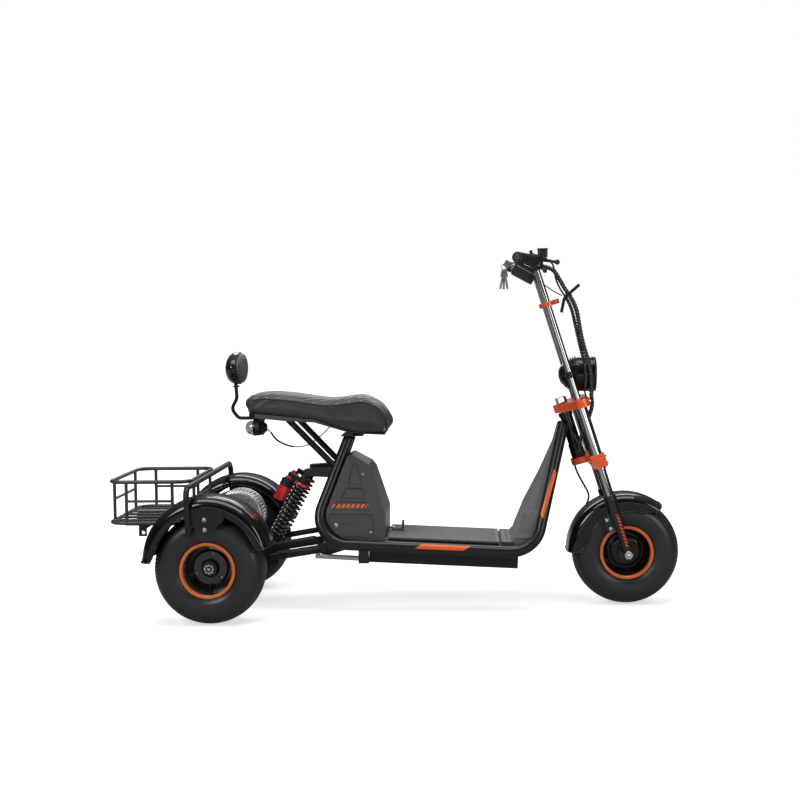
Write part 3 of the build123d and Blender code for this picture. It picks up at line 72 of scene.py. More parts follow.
def drawn(points: Array | Point | Vector) -> Array:
    """Turn the frame's metres into drawing points, the other way round from `row`."""
    return np.asarray(points, float) * 1000 + (REAR_AXLE_TO_MIDDLE, 0, 0)


def on_fork(points: Array | list[Point] | Point) -> Array:
    """Turn fork points (p, y, s) into drawing points: p and s are turned by the rake about the front axle."""
    p, y, s = np.moveaxis(np.asarray(points, float), -1, 0)
    x = FRONT_AXLE[0] + p * cos(RAKE) - s * sin(RAKE)
    z = FRONT_AXLE[2] + p * sin(RAKE) + s * cos(RAKE)
    return np.stack([x, y, z], -1)


def on_floor(points: Array | list[Point] | Point) -> Array:
    """Turn floor points (u, y, w) into drawing points: u runs along the rails and w stands square to them."""
    u, y, w = np.moveaxis(np.asarray(points, float), -1, 0)
    x = FLOOR_MIDDLE[0] + u * cos(FLOOR_TILT) + w * sin(FLOOR_TILT)
    z = FLOOR_MIDDLE[2] - u * sin(FLOOR_TILT) + w * cos(FLOOR_TILT)
    return np.stack([x, y, z], -1)


# ---------------------------------------------------------------------------------------------------- shapes
def arc_through(a: Point, b: Point, c: Point, count: int) -> Array:
    """Points on the circle arc from a through b to c, all in one plane, at even angles."""
    (ax, ay), (bx, by), (cx, cy) = a, b, c
    d = 2 * (ax * (by - cy) + bx * (cy - ay) + cx * (ay - by))
    ux = ((ax**2 + ay**2) * (by - cy) + (bx**2 + by**2) * (cy - ay) + (cx**2 + cy**2) * (ay - by)) / d
    uy = ((ax**2 + ay**2) * (cx - bx) + (bx**2 + by**2) * (ax - cx) + (cx**2 + cy**2) * (bx - ax)) / d
    start, middle, end = (atan2(y - uy, x - ux) for x, y in (a, b, c))
    to_middle, to_end = (middle - start) % (2 * pi), (end - start) % (2 * pi)
    if to_middle > to_end:
        to_end -= 2 * pi
    turn = start + np.linspace(0, to_end, count)
    radius = np.hypot(ax - ux, ay - uy)
    return np.stack([ux + radius * np.cos(turn), uy + radius * np.sin(turn)], -1)


def smooth_line(points: list[tuple[float, ...]], count: int) -> Array:
    """A Catmull-Rom line through points, taken at evenly spaced steps of its length."""
    knots = np.asarray(points, float)
    padded = np.vstack([2 * knots[0] - knots[1], knots, 2 * knots[-1] - knots[-2]])
    t = np.linspace(0, len(knots) - 1, 24 * len(knots))
    i = np.minimum(t.astype(int), len(knots) - 2)
    f = (t - i)[:, None]
    a, b, c, d = padded[i], padded[i + 1], padded[i + 2], padded[i + 3]
    line = 0.5 * (2 * b + (c - a) * f + (2 * a - 5 * b + 4 * c - d) * f**2 + (3 * b - a - 3 * c + d) * f**3)
    return even_steps(line, count)


def even_steps(line: Array, count: int) -> Array:
    """The same line with its points at equal distances along it."""
    run = np.concatenate([[0], np.cumsum(np.linalg.norm(np.diff(line, axis=0), axis=1))])
    want = np.linspace(0, run[-1], count)
    return np.stack([np.interp(want, run, line[:, k]) for k in range(line.shape[1])], -1)


def full_turn(count: int) -> Array:
    """Evenly spaced angles round one turn."""
    return np.linspace(0, 2 * pi, count, endpoint=False)


def soft_step(value: Array) -> Array:
    """A step from 0 to 1 as the value passes 0."""
    return 1 / (1 + np.exp(-value))


def ridge(value: Array, middle: float, width: float, power: int = 2) -> Array:
    """A hump 1 high where the value is the middle; a higher power gives it a flatter top."""
    return np.exp(-(((value - middle) / width) ** power))


def carried_frames(path: Array) -> tuple[Array, Array, Array]:
    """A tangent and two cross directions at each path point, the second as near to straight up as can be."""
    tangent = np.gradient(path, axis=0)
    tangent /= np.linalg.norm(tangent, axis=1, keepdims=True)
    up = np.where(np.abs(tangent[:, 2:3]) > 0.92, (1.0, 0.0, 0.0), (0.0, 0.0, 1.0))
    side = np.cross(tangent, up)
    side /= np.linalg.norm(side, axis=1, keepdims=True)
    return tangent, side, np.cross(side, tangent)


class Shape:
    """A growing set of shells, in drawing millimetres, that becomes one mesh object."""

    def __init__(self) -> None:
        """Start with nothing."""
        self.points: list[Array] = []
        self.faces: list[list[int]] = []
        self.count = 0

    def add(self, points: Array, faces: Array | list[list[int]]) -> "Shape":
        """Add points and the faces between them, numbered from the first of these points."""
        flat = np.asarray(points, float).reshape(-1, 3)
        self.points.append(flat)
        if isinstance(faces, np.ndarray):
            self.faces.extend((faces + self.count).tolist())
        else:
            self.faces.extend([k + self.count for k in face] for face in faces)
        self.count += len(flat)
        return self

    def sheet(self, grid: Array, wrap_rows: bool = False, wrap_columns: bool = False) -> "Shape":
        """Add a grid of points as quads; a wrapped direction joins its last line to its first."""
        rows, columns = grid.shape[:2]
        index = np.arange(rows * columns).reshape(rows, columns)
        if wrap_rows:
            index = np.vstack([index, index[:1]])
        if wrap_columns:
            index = np.hstack([index, index[:, :1]])
        quads = np.stack([index[:-1, :-1], index[1:, :-1], index[1:, 1:], index[:-1, 1:]], -1).reshape(-1, 4)
        return self.add(grid, quads)

    def lathe(self, profile: Array | list, centre: Point, axis: Point, sides: int = 32) -> "Shape":
        """Turn a profile of (distance along the axis, radius) about the axis; a radius of 0 closes an end."""
        outline = np.asarray(profile, float)
        along = np.asarray(axis, float) / np.linalg.norm(axis)
        seed = np.array([0.0, 0.0, 1.0]) if abs(along[2]) < 0.9 else np.array([1.0, 0.0, 0.0])
        first = np.cross(along, seed)
        first /= np.linalg.norm(first)
        second = np.cross(along, first)
        turn = full_turn(sides)
        spoke = np.cos(turn)[:, None] * first + np.sin(turn)[:, None] * second
        grid = outline[:, None, :1] * along + outline[:, None, 1:2] * spoke[None]
        return self.sheet(grid + np.asarray(centre, float), wrap_columns=True)

    def tube(
        self, path: Array | list, radius: float | Array, sides: int = 12, close: bool = False
    ) -> "Shape":
        """Carry a circle along a path; open ends are closed with a flat cap."""
        line = np.asarray(path, float)
        _, side, up = carried_frames(line)
        turn = full_turn(sides)
        size = np.asarray(radius, float)
        size = np.broadcast_to(size if size.ndim == 2 else size.reshape(-1, 1), (len(line), sides))[..., None]
        ring = np.cos(turn)[None, :, None] * side[:, None] + np.sin(turn)[None, :, None] * up[:, None]
        grid = line[:, None] + size * ring
        if not close:
            first, last = (np.broadcast_to(line[k], (1, sides, 3)) for k in (0, -1))
            grid = np.concatenate([first, grid, last])
        return self.sheet(grid, wrap_rows=close, wrap_columns=True)

    def prism(self, outline: Array | list, depth: Point | Array) -> "Shape":
        """Carry a flat outline of points by a depth vector, closed at both ends."""
        low = np.asarray(outline, float)
        count = len(low)
        index = np.arange(count)
        nearby = np.roll(index, -1)
        walls = np.stack([index, nearby, nearby + count, index + count], -1).tolist()
        caps = [index[::-1].tolist(), (index + count).tolist()]
        return self.add(np.vstack([low, low + np.asarray(depth, float)]), walls + caps)

    def make(self, name: str, sharp: float = 35) -> Object:
        """Make the mesh object: doubles merged, faces outwards, smooth but for edges past the sharp angle."""
        mesh = bpy.data.meshes.new(name)
        mesh.from_pydata(row(np.vstack(self.points)), [], self.faces)
        return finished(name, mesh, sharp)


def finished(name: str, mesh: Mesh, sharp: float = 35) -> Object:
    """Clean a mesh, turn its faces outwards, shade it smooth up to an angle, and put it in the scene."""
    work = bmesh.new()
    work.from_mesh(mesh)
    bmesh.ops.remove_doubles(work, verts=work.verts, dist=2e-6)
    bmesh.ops.dissolve_degenerate(work, edges=work.edges, dist=1e-7)
    bmesh.ops.recalc_face_normals(work, faces=work.faces)
    work.to_mesh(mesh)
    work.free()
    mesh.polygons.foreach_set("use_smooth", np.ones(len(mesh.polygons), bool))
    mesh.set_sharp_from_angle(angle=radians(sharp))
    return in_scene(name, mesh)


def in_scene(name: str, data: ID) -> Object:
    """Put some data in the scene as a new object."""
    made = bpy.data.objects.new(name, data)
    bpy.context.scene.collection.objects.link(made)
    return made


def vertex_array(mesh: Mesh) -> Array:
    """The mesh's points as one array."""
    flat = np.empty(len(mesh.vertices) * 3)
    mesh.vertices.foreach_get("co", flat)
    return flat.reshape(-1, 3)


def set_vertices(mesh: Mesh, points: Array) -> None:
    """Move the mesh's points to those of the array."""
    mesh.vertices.foreach_set("co", points.ravel())
    mesh.update()


class Body(Enum):
    """The bodies that pieces ride on."""

    CHASSIS = "chassis"
    STEERING = "steering"
    FRONT_WHEEL = "front_wheel"
    REAR_RIGHT = "rear_wheel_right"
    REAR_LEFT = "rear_wheel_left"
    LID = "floor_lid"


def place(piece: Object, finish: "Finish", body: Body, replaced: tuple[str, ...] = ()) -> Object:
    """Dress a piece, let it ride on its body and hide the CAD nodes that it stands for."""
    piece.data.materials.clear()
    piece.data.materials.append(finish.material())
    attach(piece, body.value)
    if replaced:
        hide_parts(*replaced)
    log.info("%s rides on %s", piece.name, body.value)
    return piece


# ---------------------------------------------------------------------------------------------- shader tools
class Bench:
    """Short calls to add and join the nodes of one tree."""

    def __init__(self, tree: NodeTree) -> None:
        """Work on this tree."""
        self.tree = tree

    def add(self, kind: str, **settings: object) -> Node:
        """Add a node and set its named properties."""
        node = self.tree.nodes.new(kind)
        for name, value in settings.items():
            setattr(node, name, value)
        return node

    def feed(self, socket: Socket, value: object) -> None:
        """Link a socket into another, or set a plain value on it."""
        if isinstance(value, Socket):
            self.tree.links.new(value, socket)
        elif value is not None:
            socket.default_value = value

    def math(self, operation: str, first: object, second: object = None, clamp: bool = False) -> Socket:
        """One step of arithmetic."""
        node = self.add("ShaderNodeMath", operation=operation, use_clamp=clamp)
        self.feed(node.inputs[0], first)
        self.feed(node.inputs[1], second)
        return node.outputs[0]

    def plus(self, first: object, second: object, clamp: bool = False) -> Socket:
        """The sum of two values."""
        return self.math("ADD", first, second, clamp)

    def minus(self, first: object, second: object) -> Socket:
        """The first value less the second."""
        return self.math("SUBTRACT", first, second)

    def times(self, first: object, second: object, clamp: bool = False) -> Socket:
        """The product of two values."""
        return self.math("MULTIPLY", first, second, clamp)

    def bump(self, height: object, normal: Socket) -> Socket:
        """A normal raised by a height in metres over another normal."""
        node = self.add("ShaderNodeBump")
        self.feed(node.inputs["Height"], height)
        self.feed(node.inputs["Distance"], 1.0)
        self.feed(node.inputs["Normal"], normal)
        return node.outputs[0]

    def mix(self, factor: object, first: object, second: object) -> Socket:
        """Mix two colours."""
        node = self.add("ShaderNodeMix", data_type="RGBA")
        self.feed(node.inputs[0], factor)
        self.feed(node.inputs[6], first if isinstance(first, Socket) else (*first, 1))
        self.feed(node.inputs[7], second if isinstance(second, Socket) else (*second, 1))
        return node.outputs[2]

    def noise(self, vector: object, scale: object, detail: float = 3, rough: float = 0.55) -> Socket:
        """Soft noise from 0 to 1."""
        node = self.add("ShaderNodeTexNoise")
        self.feed(node.inputs["Vector"], vector)
        self.feed(node.inputs["Scale"], scale)
        self.feed(node.inputs["Detail"], detail)
        self.feed(node.inputs["Roughness"], rough)
        return node.outputs["Fac"]

    def ramp(self, value: object, low: float, high: float) -> Socket:
        """A smooth step that is 0 below low and 1 above high."""
        node = self.add("ShaderNodeMapRange", interpolation_type="SMOOTHSTEP")
        self.feed(node.inputs[0], value)
        self.feed(node.inputs[1], low)
        self.feed(node.inputs[2], high)
        return node.outputs[0]

    def position(self) -> Socket:
        """Where on the piece the point is, in metres."""
        return self.add("ShaderNodeTexCoord").outputs["Object"]

    def axes(self, vector: object) -> tuple[Socket, ...]:
        """The three numbers of a vector."""
        node = self.add("ShaderNodeSeparateXYZ")
        self.feed(node.inputs[0], vector)
        return tuple(node.outputs)

    def group(self, tree: NodeTree, **values: object) -> Node:
        """Place a shared group and feed its inputs, whose spaces are written as underscores."""
        node = self.add("ShaderNodeGroup", node_tree=tree)
        for name, value in values.items():
            self.feed(node.inputs[name.replace("_", " ")], value)
        return node


def new_group(name: str, inputs: dict[str, object], outputs: dict[str, str]) -> tuple[Bench, dict, Node]:
    """Start a shared group.

    Args:
        name: The group's name.
        inputs: Each input's name with its default: a number, or 3 or 4 numbers for a vector or a colour.
        outputs: Each output's name with its socket kind.

    Returns:
        The bench of the group's tree, its inputs by name, and the node that takes its outputs.
    """
    tree = bpy.data.node_groups.new(name, "ShaderNodeTree")
    for label, default in inputs.items():
        size = len(default) if isinstance(default, tuple) else 1
        kind = {1: "NodeSocketFloat", 3: "NodeSocketVector", 4: "NodeSocketColor"}[size]
        tree.interface.new_socket(label, in_out="INPUT", socket_type=kind).default_value = default
    for label, kind in outputs.items():
        tree.interface.new_socket(label, in_out="OUTPUT", socket_type=kind)
    bench = Bench(tree)
    given = bench.add("NodeGroupInput").outputs
    return bench, {label: given[label] for label in inputs}, bench.add("NodeGroupOutput")


def build_surface_group() -> NodeTree:
    """A made surface: grain, softened edges that catch the light, mottling, rubbed edges whose lighter colour
    is partly wear and partly a painted edge highlight, and settled dust.
    """
    bench, given, out = new_group(
        "made_surface",
        {
            "Colour": (0.5, 0.5, 0.5, 1.0),
            "Edge Colour": (0.7, 0.7, 0.7, 1.0),
            "Roughness": 0.4,
            "Spread": 0.05,
            "Mottle": 0.1,
            "Grain Scale": 900.0,
            "Grain Height": 0.00002,
            "Edge Radius": 0.0008,
            "Wear": 0.1,
            "Dust": 0.1,
        },
        {"Colour": "NodeSocketColor", "Roughness": "NodeSocketFloat", "Normal": "NodeSocketVector"},
    )
    where = bench.position()
    broad = bench.noise(where, 11.0, 4)
    streak = bench.noise(where, 60.0, 5, 0.65)
    grain = bench.noise(where, given["Grain Scale"], 2, 0.5)
    soft_edge = bench.add("ShaderNodeBevel", samples=4)
    bench.feed(soft_edge.inputs["Radius"], given["Edge Radius"])
    flat = bench.add("ShaderNodeNewGeometry")
    agree = bench.add("ShaderNodeVectorMath", operation="DOT_PRODUCT")
    bench.feed(agree.inputs[0], soft_edge.outputs[0])
    bench.feed(agree.inputs[1], flat.outputs["Normal"])
    edge = bench.ramp(bench.minus(1.0, agree.outputs["Value"]), 0.004, 0.09)
    # rubbed edges: wear, and also a painted highlight along the edges in the lighter edge colour
    rubbed_and_lit_edge = bench.times(bench.times(edge, bench.ramp(streak, 0.35, 0.75)), given["Wear"], True)
    tone = bench.plus(1.0, bench.times(bench.minus(broad, 0.5), given["Mottle"]))
    shade = bench.add("ShaderNodeVectorMath", operation="SCALE")
    bench.feed(shade.inputs[0], given["Colour"])
    bench.feed(shade.inputs["Scale"], tone)
    painted = bench.mix(rubbed_and_lit_edge, shade.outputs[0], given["Edge Colour"])
    upward = bench.ramp(bench.axes(flat.outputs["Normal"])[2], 0.55, 1.0)
    settled = bench.times(bench.times(upward, bench.ramp(streak, 0.3, 0.8)), given["Dust"], True)
    bench.feed(out.inputs["Colour"], bench.mix(settled, painted, (0.42, 0.4, 0.37)))
    uneven = bench.times(bench.minus(streak, 0.5), given["Spread"])
    dulled = bench.plus(uneven, bench.times(settled, 0.3))
    bench.feed(out.inputs["Roughness"], bench.plus(given["Roughness"], dulled, True))
    raised = bench.times(grain, given["Grain Height"])
    bench.feed(out.inputs["Normal"], bench.bump(raised, soft_edge.outputs[0]))
    return bench.tree


def build_band_group() -> NodeTree:
    """A slanted band on the sides: 1 inside a parallelogram in x and z, beyond a distance from the middle."""
    bench, given, out = new_group(
        "side_band",
        {
            "Centre": (0.0, 0.0, 0.0),
            "Angle": 0.0,
            "Half Length": 0.05,
            "Half Width": 0.008,
            "Skew": 0.0,
            "From Middle": 0.1,
        },
        {"Mask": "NodeSocketFloat", "Along": "NodeSocketFloat"},
    )
    offset = bench.add("ShaderNodeVectorMath", operation="SUBTRACT")
    where = bench.position()
    bench.feed(offset.inputs[0], where)
    bench.feed(offset.inputs[1], given["Centre"])
    x, _, z = bench.axes(offset.outputs[0])
    turn_cos, turn_sin = bench.math("COSINE", given["Angle"]), bench.math("SINE", given["Angle"])
    along = bench.plus(bench.times(x, turn_cos), bench.times(z, turn_sin))
    across = bench.minus(bench.times(z, turn_cos), bench.times(x, turn_sin))
    leaned = bench.minus(along, bench.times(across, given["Skew"]))
    inside = bench.math("LESS_THAN", bench.math("ABSOLUTE", leaned), given["Half Length"])
    within = bench.math("LESS_THAN", bench.math("ABSOLUTE", across), given["Half Width"])
    outer = bench.math("GREATER_THAN", bench.math("ABSOLUTE", bench.axes(where)[1]), given["From Middle"])
    bench.feed(out.inputs["Mask"], bench.times(bench.times(inside, within), outer))
    bench.feed(out.inputs["Along"], leaned)
    return bench.tree


def build_hide_group() -> NodeTree:
    """Vinyl hide: rounded cells of two sizes with creases between them, as a height and a mottling; the
    mottling dips in the creases, where the vinyl uses it as painted shade.
    """
    bench, given, out = new_group(
        "vinyl_hide",
        {"Cell Scale": 420.0, "Crease Scale": 95.0},
        {"Height": "NodeSocketFloat", "Mottle": "NodeSocketFloat"},
    )
    where = bench.position()
    cells = bench.add("ShaderNodeTexVoronoi", feature="DISTANCE_TO_EDGE")
    bench.feed(cells.inputs["Vector"], where)
    bench.feed(cells.inputs["Scale"], given["Cell Scale"])
    crease = bench.noise(where, given["Crease Scale"], 5, 0.6)
    raised = bench.ramp(cells.outputs["Distance"], 0.0, 0.22)
    bench.feed(out.inputs["Height"], bench.plus(raised, bench.times(crease, 0.6)))
    bench.feed(out.inputs["Mottle"], bench.plus(bench.times(raised, 0.3), bench.noise(where, 14.0)))
    return bench.tree


SURFACE = build_surface_group()
SIDE_BAND = build_band_group()
HIDE = build_hide_group()


# -------------------------------------------------------------------------------------------------- finishes
@dataclass(frozen=True)
class Band:
    """A coloured band on a piece's sides, at a middle (x, z) in drawing millimetres."""

    middle: tuple[float, float]
    angle: float
    length: float
    width: float
    colour: Colour
    skew: float = 0.0
    from_middle: float = 100.0
    bars: float = 0.0

    def paint(self, bench: Bench, colour: Socket) -> Socket:
        """Lay the band over a colour; bars is the pitch in millimetres of slanted gaps in it."""
        x, _, z = row((self.middle[0], 0, self.middle[1]))
        band = bench.group(
            SIDE_BAND,
            Centre=(x, 0, z),
            Angle=radians(self.angle),
            Half_Length=self.length / 2000,
            Half_Width=self.width / 2000,
            Skew=self.skew,
            From_Middle=self.from_middle / 1000,
        )
        mask = band.outputs["Mask"]
        if self.bars:
            phase = bench.math("FRACT", bench.times(band.outputs["Along"], 1000 / self.bars))
            mask = bench.times(mask, bench.math("GREATER_THAN", phase, 0.4))
        return bench.mix(mask, colour, self.colour)


@dataclass(frozen=True)
class Finish:
    """What a piece is coated with and how it has been handled."""

    name: str
    colour: Colour
    roughness: float
    metallic: float = 0.0
    coat: float = 0.0
    coat_roughness: float = 0.06
    specular: float = 0.5
    spread: float = 0.08
    mottle: float = 0.12
    grain_scale: float = 900.0
    grain: float = 0.00002
    edge: float = 0.0009
    # the lighter colour of rubbed edges and how strongly it shows: wear, and also a painted edge highlight
    edge_colour: Colour = (0.3, 0.3, 0.3)
    edge_wear_and_sheen: float = 0.25
    dust: float = 0.06
    bands: tuple[Band, ...] = ()
    slot: str = ""

    def surface(self, bench: Bench) -> Node:
        """Place the shared surface group with this finish's values."""
        return bench.group(
            SURFACE,
            Colour=(*self.colour, 1),
            Edge_Colour=(*self.edge_colour, 1),
            Roughness=self.roughness,
            Spread=self.spread,
            Mottle=self.mottle,
            Grain_Scale=self.grain_scale,
            Grain_Height=self.grain,
            Edge_Radius=self.edge,
            Wear=self.edge_wear_and_sheen,
            Dust=self.dust,
        )

    def shader(self, material: Material) -> Node:
        """Set the shader's own plain values."""
        shader = material.node_tree.nodes["Principled BSDF"]
        shader.inputs["Metallic"].default_value = self.metallic
        shader.inputs["Coat Weight"].default_value = self.coat
        shader.inputs["Coat Roughness"].default_value = self.coat_roughness
        shader.inputs["Specular IOR Level"].default_value = self.specular
        return shader

    def material(self) -> Material:
        """Make the material, once for each finish."""
        name = self.name + "_finish"
        if name in bpy.data.materials:
            return bpy.data.materials[name]
        material = bpy.data.materials.new(name)
        material.use_nodes = True
        bench = Bench(material.node_tree)
        shader = self.shader(material)
        made = self.surface(bench)
        colour = made.outputs["Colour"]
        for band in self.bands:
            colour = band.paint(bench, colour)
        bench.feed(shader.inputs["Base Color"], self.tint(bench, colour))
        bench.feed(shader.inputs["Roughness"], made.outputs["Roughness"])
        bench.feed(shader.inputs["Normal"], self.relief(bench, made.outputs["Normal"]))
        return material

    def tint(self, bench: Bench, colour: Socket) -> Socket:
        """Change the colour over the surface; plain finishes don't."""
        return colour

    def relief(self, bench: Bench, normal: Socket) -> Socket:
        """Add the finish's own relief to the surface's; plain finishes add none."""
        return normal


@dataclass(frozen=True)
class RimPaint(Finish):
    """Black rim paint with a coloured ring round its outer lip."""

    hub: Point = (0.0, 0.0, 0.0)
    ring: Colour = (0.78, 0.17, 0.03)
    ring_radius: float = 76.5
    face_depth: float = 50.0

    def tint(self, bench: Bench, colour: Socket) -> Socket:
        """Lay the ring over the lip: far enough from the axle and near enough to either face."""
        hub = row(self.hub)
        x, y, z = bench.axes(bench.position())
        sides = ((x, hub[0]), (z, hub[2]))
        squares = [bench.math("POWER", bench.minus(part, centre), 2.0) for part, centre in sides]
        from_axle = bench.math("SQRT", bench.plus(*squares))
        from_middle = bench.math("ABSOLUTE", bench.minus(y, hub[1]))
        far = bench.math("GREATER_THAN", from_axle, self.ring_radius / 1000)
        near_face = bench.math("GREATER_THAN", from_middle, self.face_depth / 1000)
        return bench.mix(bench.times(far, near_face), colour, self.ring)


@dataclass(frozen=True)
class Vinyl(Finish):
    """Upholstery vinyl with hide grain and painted shade in the creases of its hide."""

    cell_scale: float = 420.0
    cell_height: float = 0.00018

    def relief(self, bench: Bench, normal: Socket) -> Socket:
        """Raise the hide's cells."""
        hide = bench.group(HIDE, Cell_Scale=self.cell_scale)
        return bench.bump(bench.times(hide.outputs["Height"], self.cell_height), normal)

    def tint(self, bench: Bench, colour: Socket) -> Socket:
        """Paint shade into the creases a little, mixed with the hide's random mottling."""
        hide = bench.group(HIDE, Cell_Scale=self.cell_scale)
        # painted crease shade, laid where the mottling is low
        crease_shade_and_mottle = tuple(0.6 * c for c in self.colour)
        return bench.mix(bench.ramp(hide.outputs["Mottle"], 0.9, 0.45), colour, crease_shade_and_mottle)


@dataclass(frozen=True)
class Chrome(Finish):
    """Polished plating with painted reflections: dark lines along a tube, standing in for the dark edges of
    the room mirrored in it.
    """

    # the colour of the painted reflection lines
    line: Colour = (0.09, 0.09, 0.1)

    def tint(self, bench: Bench, colour: Socket) -> Socket:
        """Paint dark reflection lines on the plating in two narrow ranges of the angle that it is seen at."""
        facing = bench.add("ShaderNodeLayerWeight").outputs["Facing"]
        inner = bench.times(bench.ramp(facing, 0.07, 0.11), bench.ramp(facing, 0.24, 0.17))
        outer = bench.ramp(facing, 0.42, 0.62)
        return bench.mix(bench.math("MAXIMUM", inner, outer), colour, self.line)


BLACK = (0.012, 0.012, 0.013)
ORANGE = (0.83, 0.13, 0.02)

GLOSS_BLACK = Finish(
    "gloss_black_paint", (0.006, 0.006, 0.007), 0.34, coat=0.6, coat_roughness=0.06, specular=0.15,
    spread=0.06, grain=0.000012
)
SATIN_BLACK = Finish(
    "satin_black_steel", (0.012, 0.012, 0.013), 0.4, coat=0.12, coat_roughness=0.3, specular=0.3, dust=0.02,
    grain=0.00003, grain_scale=700
)
BASKET_BLACK = Finish(
    "basket_coating", (0.048, 0.048, 0.05), 0.36, coat=0.2, coat_roughness=0.25, grain_scale=500
)
FENDER_BLACK = Finish(
    "fender_gloss", (0.003, 0.003, 0.0035), 0.3, coat=0.9, coat_roughness=0.035, specular=0.1, edge_wear_and_sheen=0.1,
    dust=0.01, grain=0.000006, slot="gloss_plastic"
)
COVER_PLASTIC = Finish(
    "cover_plastic",
    (0.068, 0.069, 0.071),
    0.36,
    coat=0.25,
    coat_roughness=0.22,
    grain_scale=1400,
    grain=0.00002,
    bands=(Band((431, 348.5), 0, 118, 13, ORANGE, skew=0.5, from_middle=120, bars=16),),
)
SHIELD_PLASTIC = Finish(
    "shield_plastic", (0.165, 0.167, 0.172), 0.4, coat=0.2, coat_roughness=0.25, grain_scale=1300,
    grain=0.00002, slot="gloss_plastic"
)
TRAY_PLASTIC = Finish(
    "tray_plastic", (0.03, 0.031, 0.033), 0.5, grain_scale=1100, grain=0.00005, edge_colour=(0.1, 0.1, 0.1),
    slot="black_plastic"
)
RAIL_PAINT = Finish(
    "rail_paint",
    (0.012, 0.012, 0.013),
    0.34,
    coat=0.3,
    coat_roughness=0.2,
    specular=0.3,
    grain=0.000016,
    bands=(
        Band((736, 217.5), -2.8, 158, 15, ORANGE, skew=1.6, from_middle=172),
        Band((1084, 383), 71.5, 152, 13, ORANGE, skew=0.9, from_middle=40),
    ),
)
CHROME = Chrome(
    "chrome", (0.6, 0.61, 0.63), 0.06, metallic=1.0, spread=0.05, mottle=0.04, grain=0.000003, edge_wear_and_sheen=0.0,
    dust=0.03
)
ZINC = Finish(
    "zinc_plate", (0.52, 0.52, 0.5), 0.3, metallic=1.0, spread=0.2, mottle=0.3, edge_colour=(0.7, 0.7, 0.7),
    slot="zinc"
)
CAST = Finish(
    "cast_aluminium", (0.66, 0.67, 0.68), 0.38, metallic=0.9, spread=0.2, grain_scale=600, grain=0.00007,
    edge_colour=(0.8, 0.8, 0.8)
)
ORANGE_ANODISED = Finish(
    "orange_anodised", (1.0, 0.125, 0.03), 0.3, metallic=0.25, grain=0.000006, coat=0.4, coat_roughness=0.12,
    edge_colour=(0.9, 0.4, 0.25), edge_wear_and_sheen=0.3
)
RED_ANODISED = Finish(
    "red_anodised", (0.85, 0.03, 0.035), 0.22, metallic=0.3, coat=0.8, coat_roughness=0.05,
    edge_colour=(0.9, 0.2, 0.18)
)
FORK_SLIDER = Finish(
    "slider_paint",
    (0.009, 0.009, 0.01),
    0.33,
    coat=0.35,
    coat_roughness=0.16,
    bands=(Band((1326, 257), 107.3, 112, 10, (0.8, 0.09, 0.03), skew=0.6, from_middle=104, bars=12),),
)
TYRE_RUBBER = Finish(
    "tyre_rubber", (0.022, 0.0215, 0.021), 0.36, specular=0.5, spread=0.16, mottle=0.2, grain_scale=1500,
    grain=0.00004, edge=0.0012,
    edge_colour=(0.06, 0.06, 0.06), dust=0.05,
)
CASE_PLASTIC = Finish(
    "case_plastic", (0.02, 0.02, 0.021), 0.4, grain_scale=1500, grain=0.00003, edge=0.0007,
    slot="black_plastic"
)
GRIP_RUBBER = Finish(
    "grip_rubber", (0.014, 0.014, 0.014), 0.6, grain_scale=1200, grain=0.00005, specular=0.4,
    slot="black_plastic"
)
JACKET = Finish(
    "cable_jacket", (0.012, 0.012, 0.012), 0.3, coat=0.4, coat_roughness=0.12, spread=0.1, grain_scale=800,
    edge=0.0003, edge_wear_and_sheen=0.05
)
MAT_RUBBER = Finish(
    "floor_mat", (0.13, 0.13, 0.135), 0.55, spread=0.1, grain_scale=1000, grain=0.00006, specular=0.4,
    dust=0.25, slot="floor_mat_rubber"
)
SPRING_PAINT = Finish(
    "spring_paint", (0.008, 0.008, 0.009), 0.14, coat=0.9, coat_roughness=0.04, edge=0.0003,
    slot="gloss_black_paint"
)
SILVER = Finish(
    "silver_trim", (0.52, 0.53, 0.55), 0.28, metallic=0.9, coat=0.3, edge_colour=(0.7, 0.7, 0.7), edge_wear_and_sheen=0.1,
    slot="zinc"
)
STEEL = Finish(
    "bright_steel", (0.7, 0.7, 0.71), 0.2, metallic=1.0, spread=0.12, edge_colour=(0.85, 0.85, 0.85),
    slot="chrome"
)
RED_TAG = Finish("red_rubber", (0.5, 0.02, 0.015), 0.5, slot="lamp_red")
FRONT_RIM = RimPaint("front_rim_paint", BLACK, 0.22, coat=0.7, hub=FRONT_AXLE)
RIGHT_RIM = RimPaint("right_rim_paint", BLACK, 0.22, coat=0.7, hub=(0, -HALF_TRACK, TYRE_RADIUS))
LEFT_RIM = RimPaint("left_rim_paint", BLACK, 0.22, coat=0.7, hub=(0, HALF_TRACK, TYRE_RADIUS))


@dataclass(frozen=True)
class Lens(Finish):
    """Clear or tinted moulding that lets light through."""

    clear: float = 0.85

    def shader(self, material: Material) -> Node:
        """Let light through."""
        shader = super().shader(material)
        shader.inputs["Transmission Weight"].default_value = self.clear
        shader.inputs["IOR"].default_value = 1.49
        return shader


CLEAR_LENS = Lens(
    "clear_lens", (0.93, 0.94, 0.95), 0.05, grain=0.0, edge_wear_and_sheen=0.0, dust=0.0, mottle=0.02, spread=0.02,
    slot="lamp_red"
)
TAIL_LENS = Finish(
    "tail_lens", (0.62, 0.63, 0.65), 0.12, metallic=0.4, coat=0.9, coat_roughness=0.04, edge_wear_and_sheen=0.0, dust=0.0,
    grain=0.0, slot="lamp_red"
)
REFLECTOR = Finish(
    "reflector", (0.86, 0.87, 0.88), 0.1, metallic=1.0, edge_wear_and_sheen=0.0, dust=0.0, grain=0.0, slot="chrome"
)

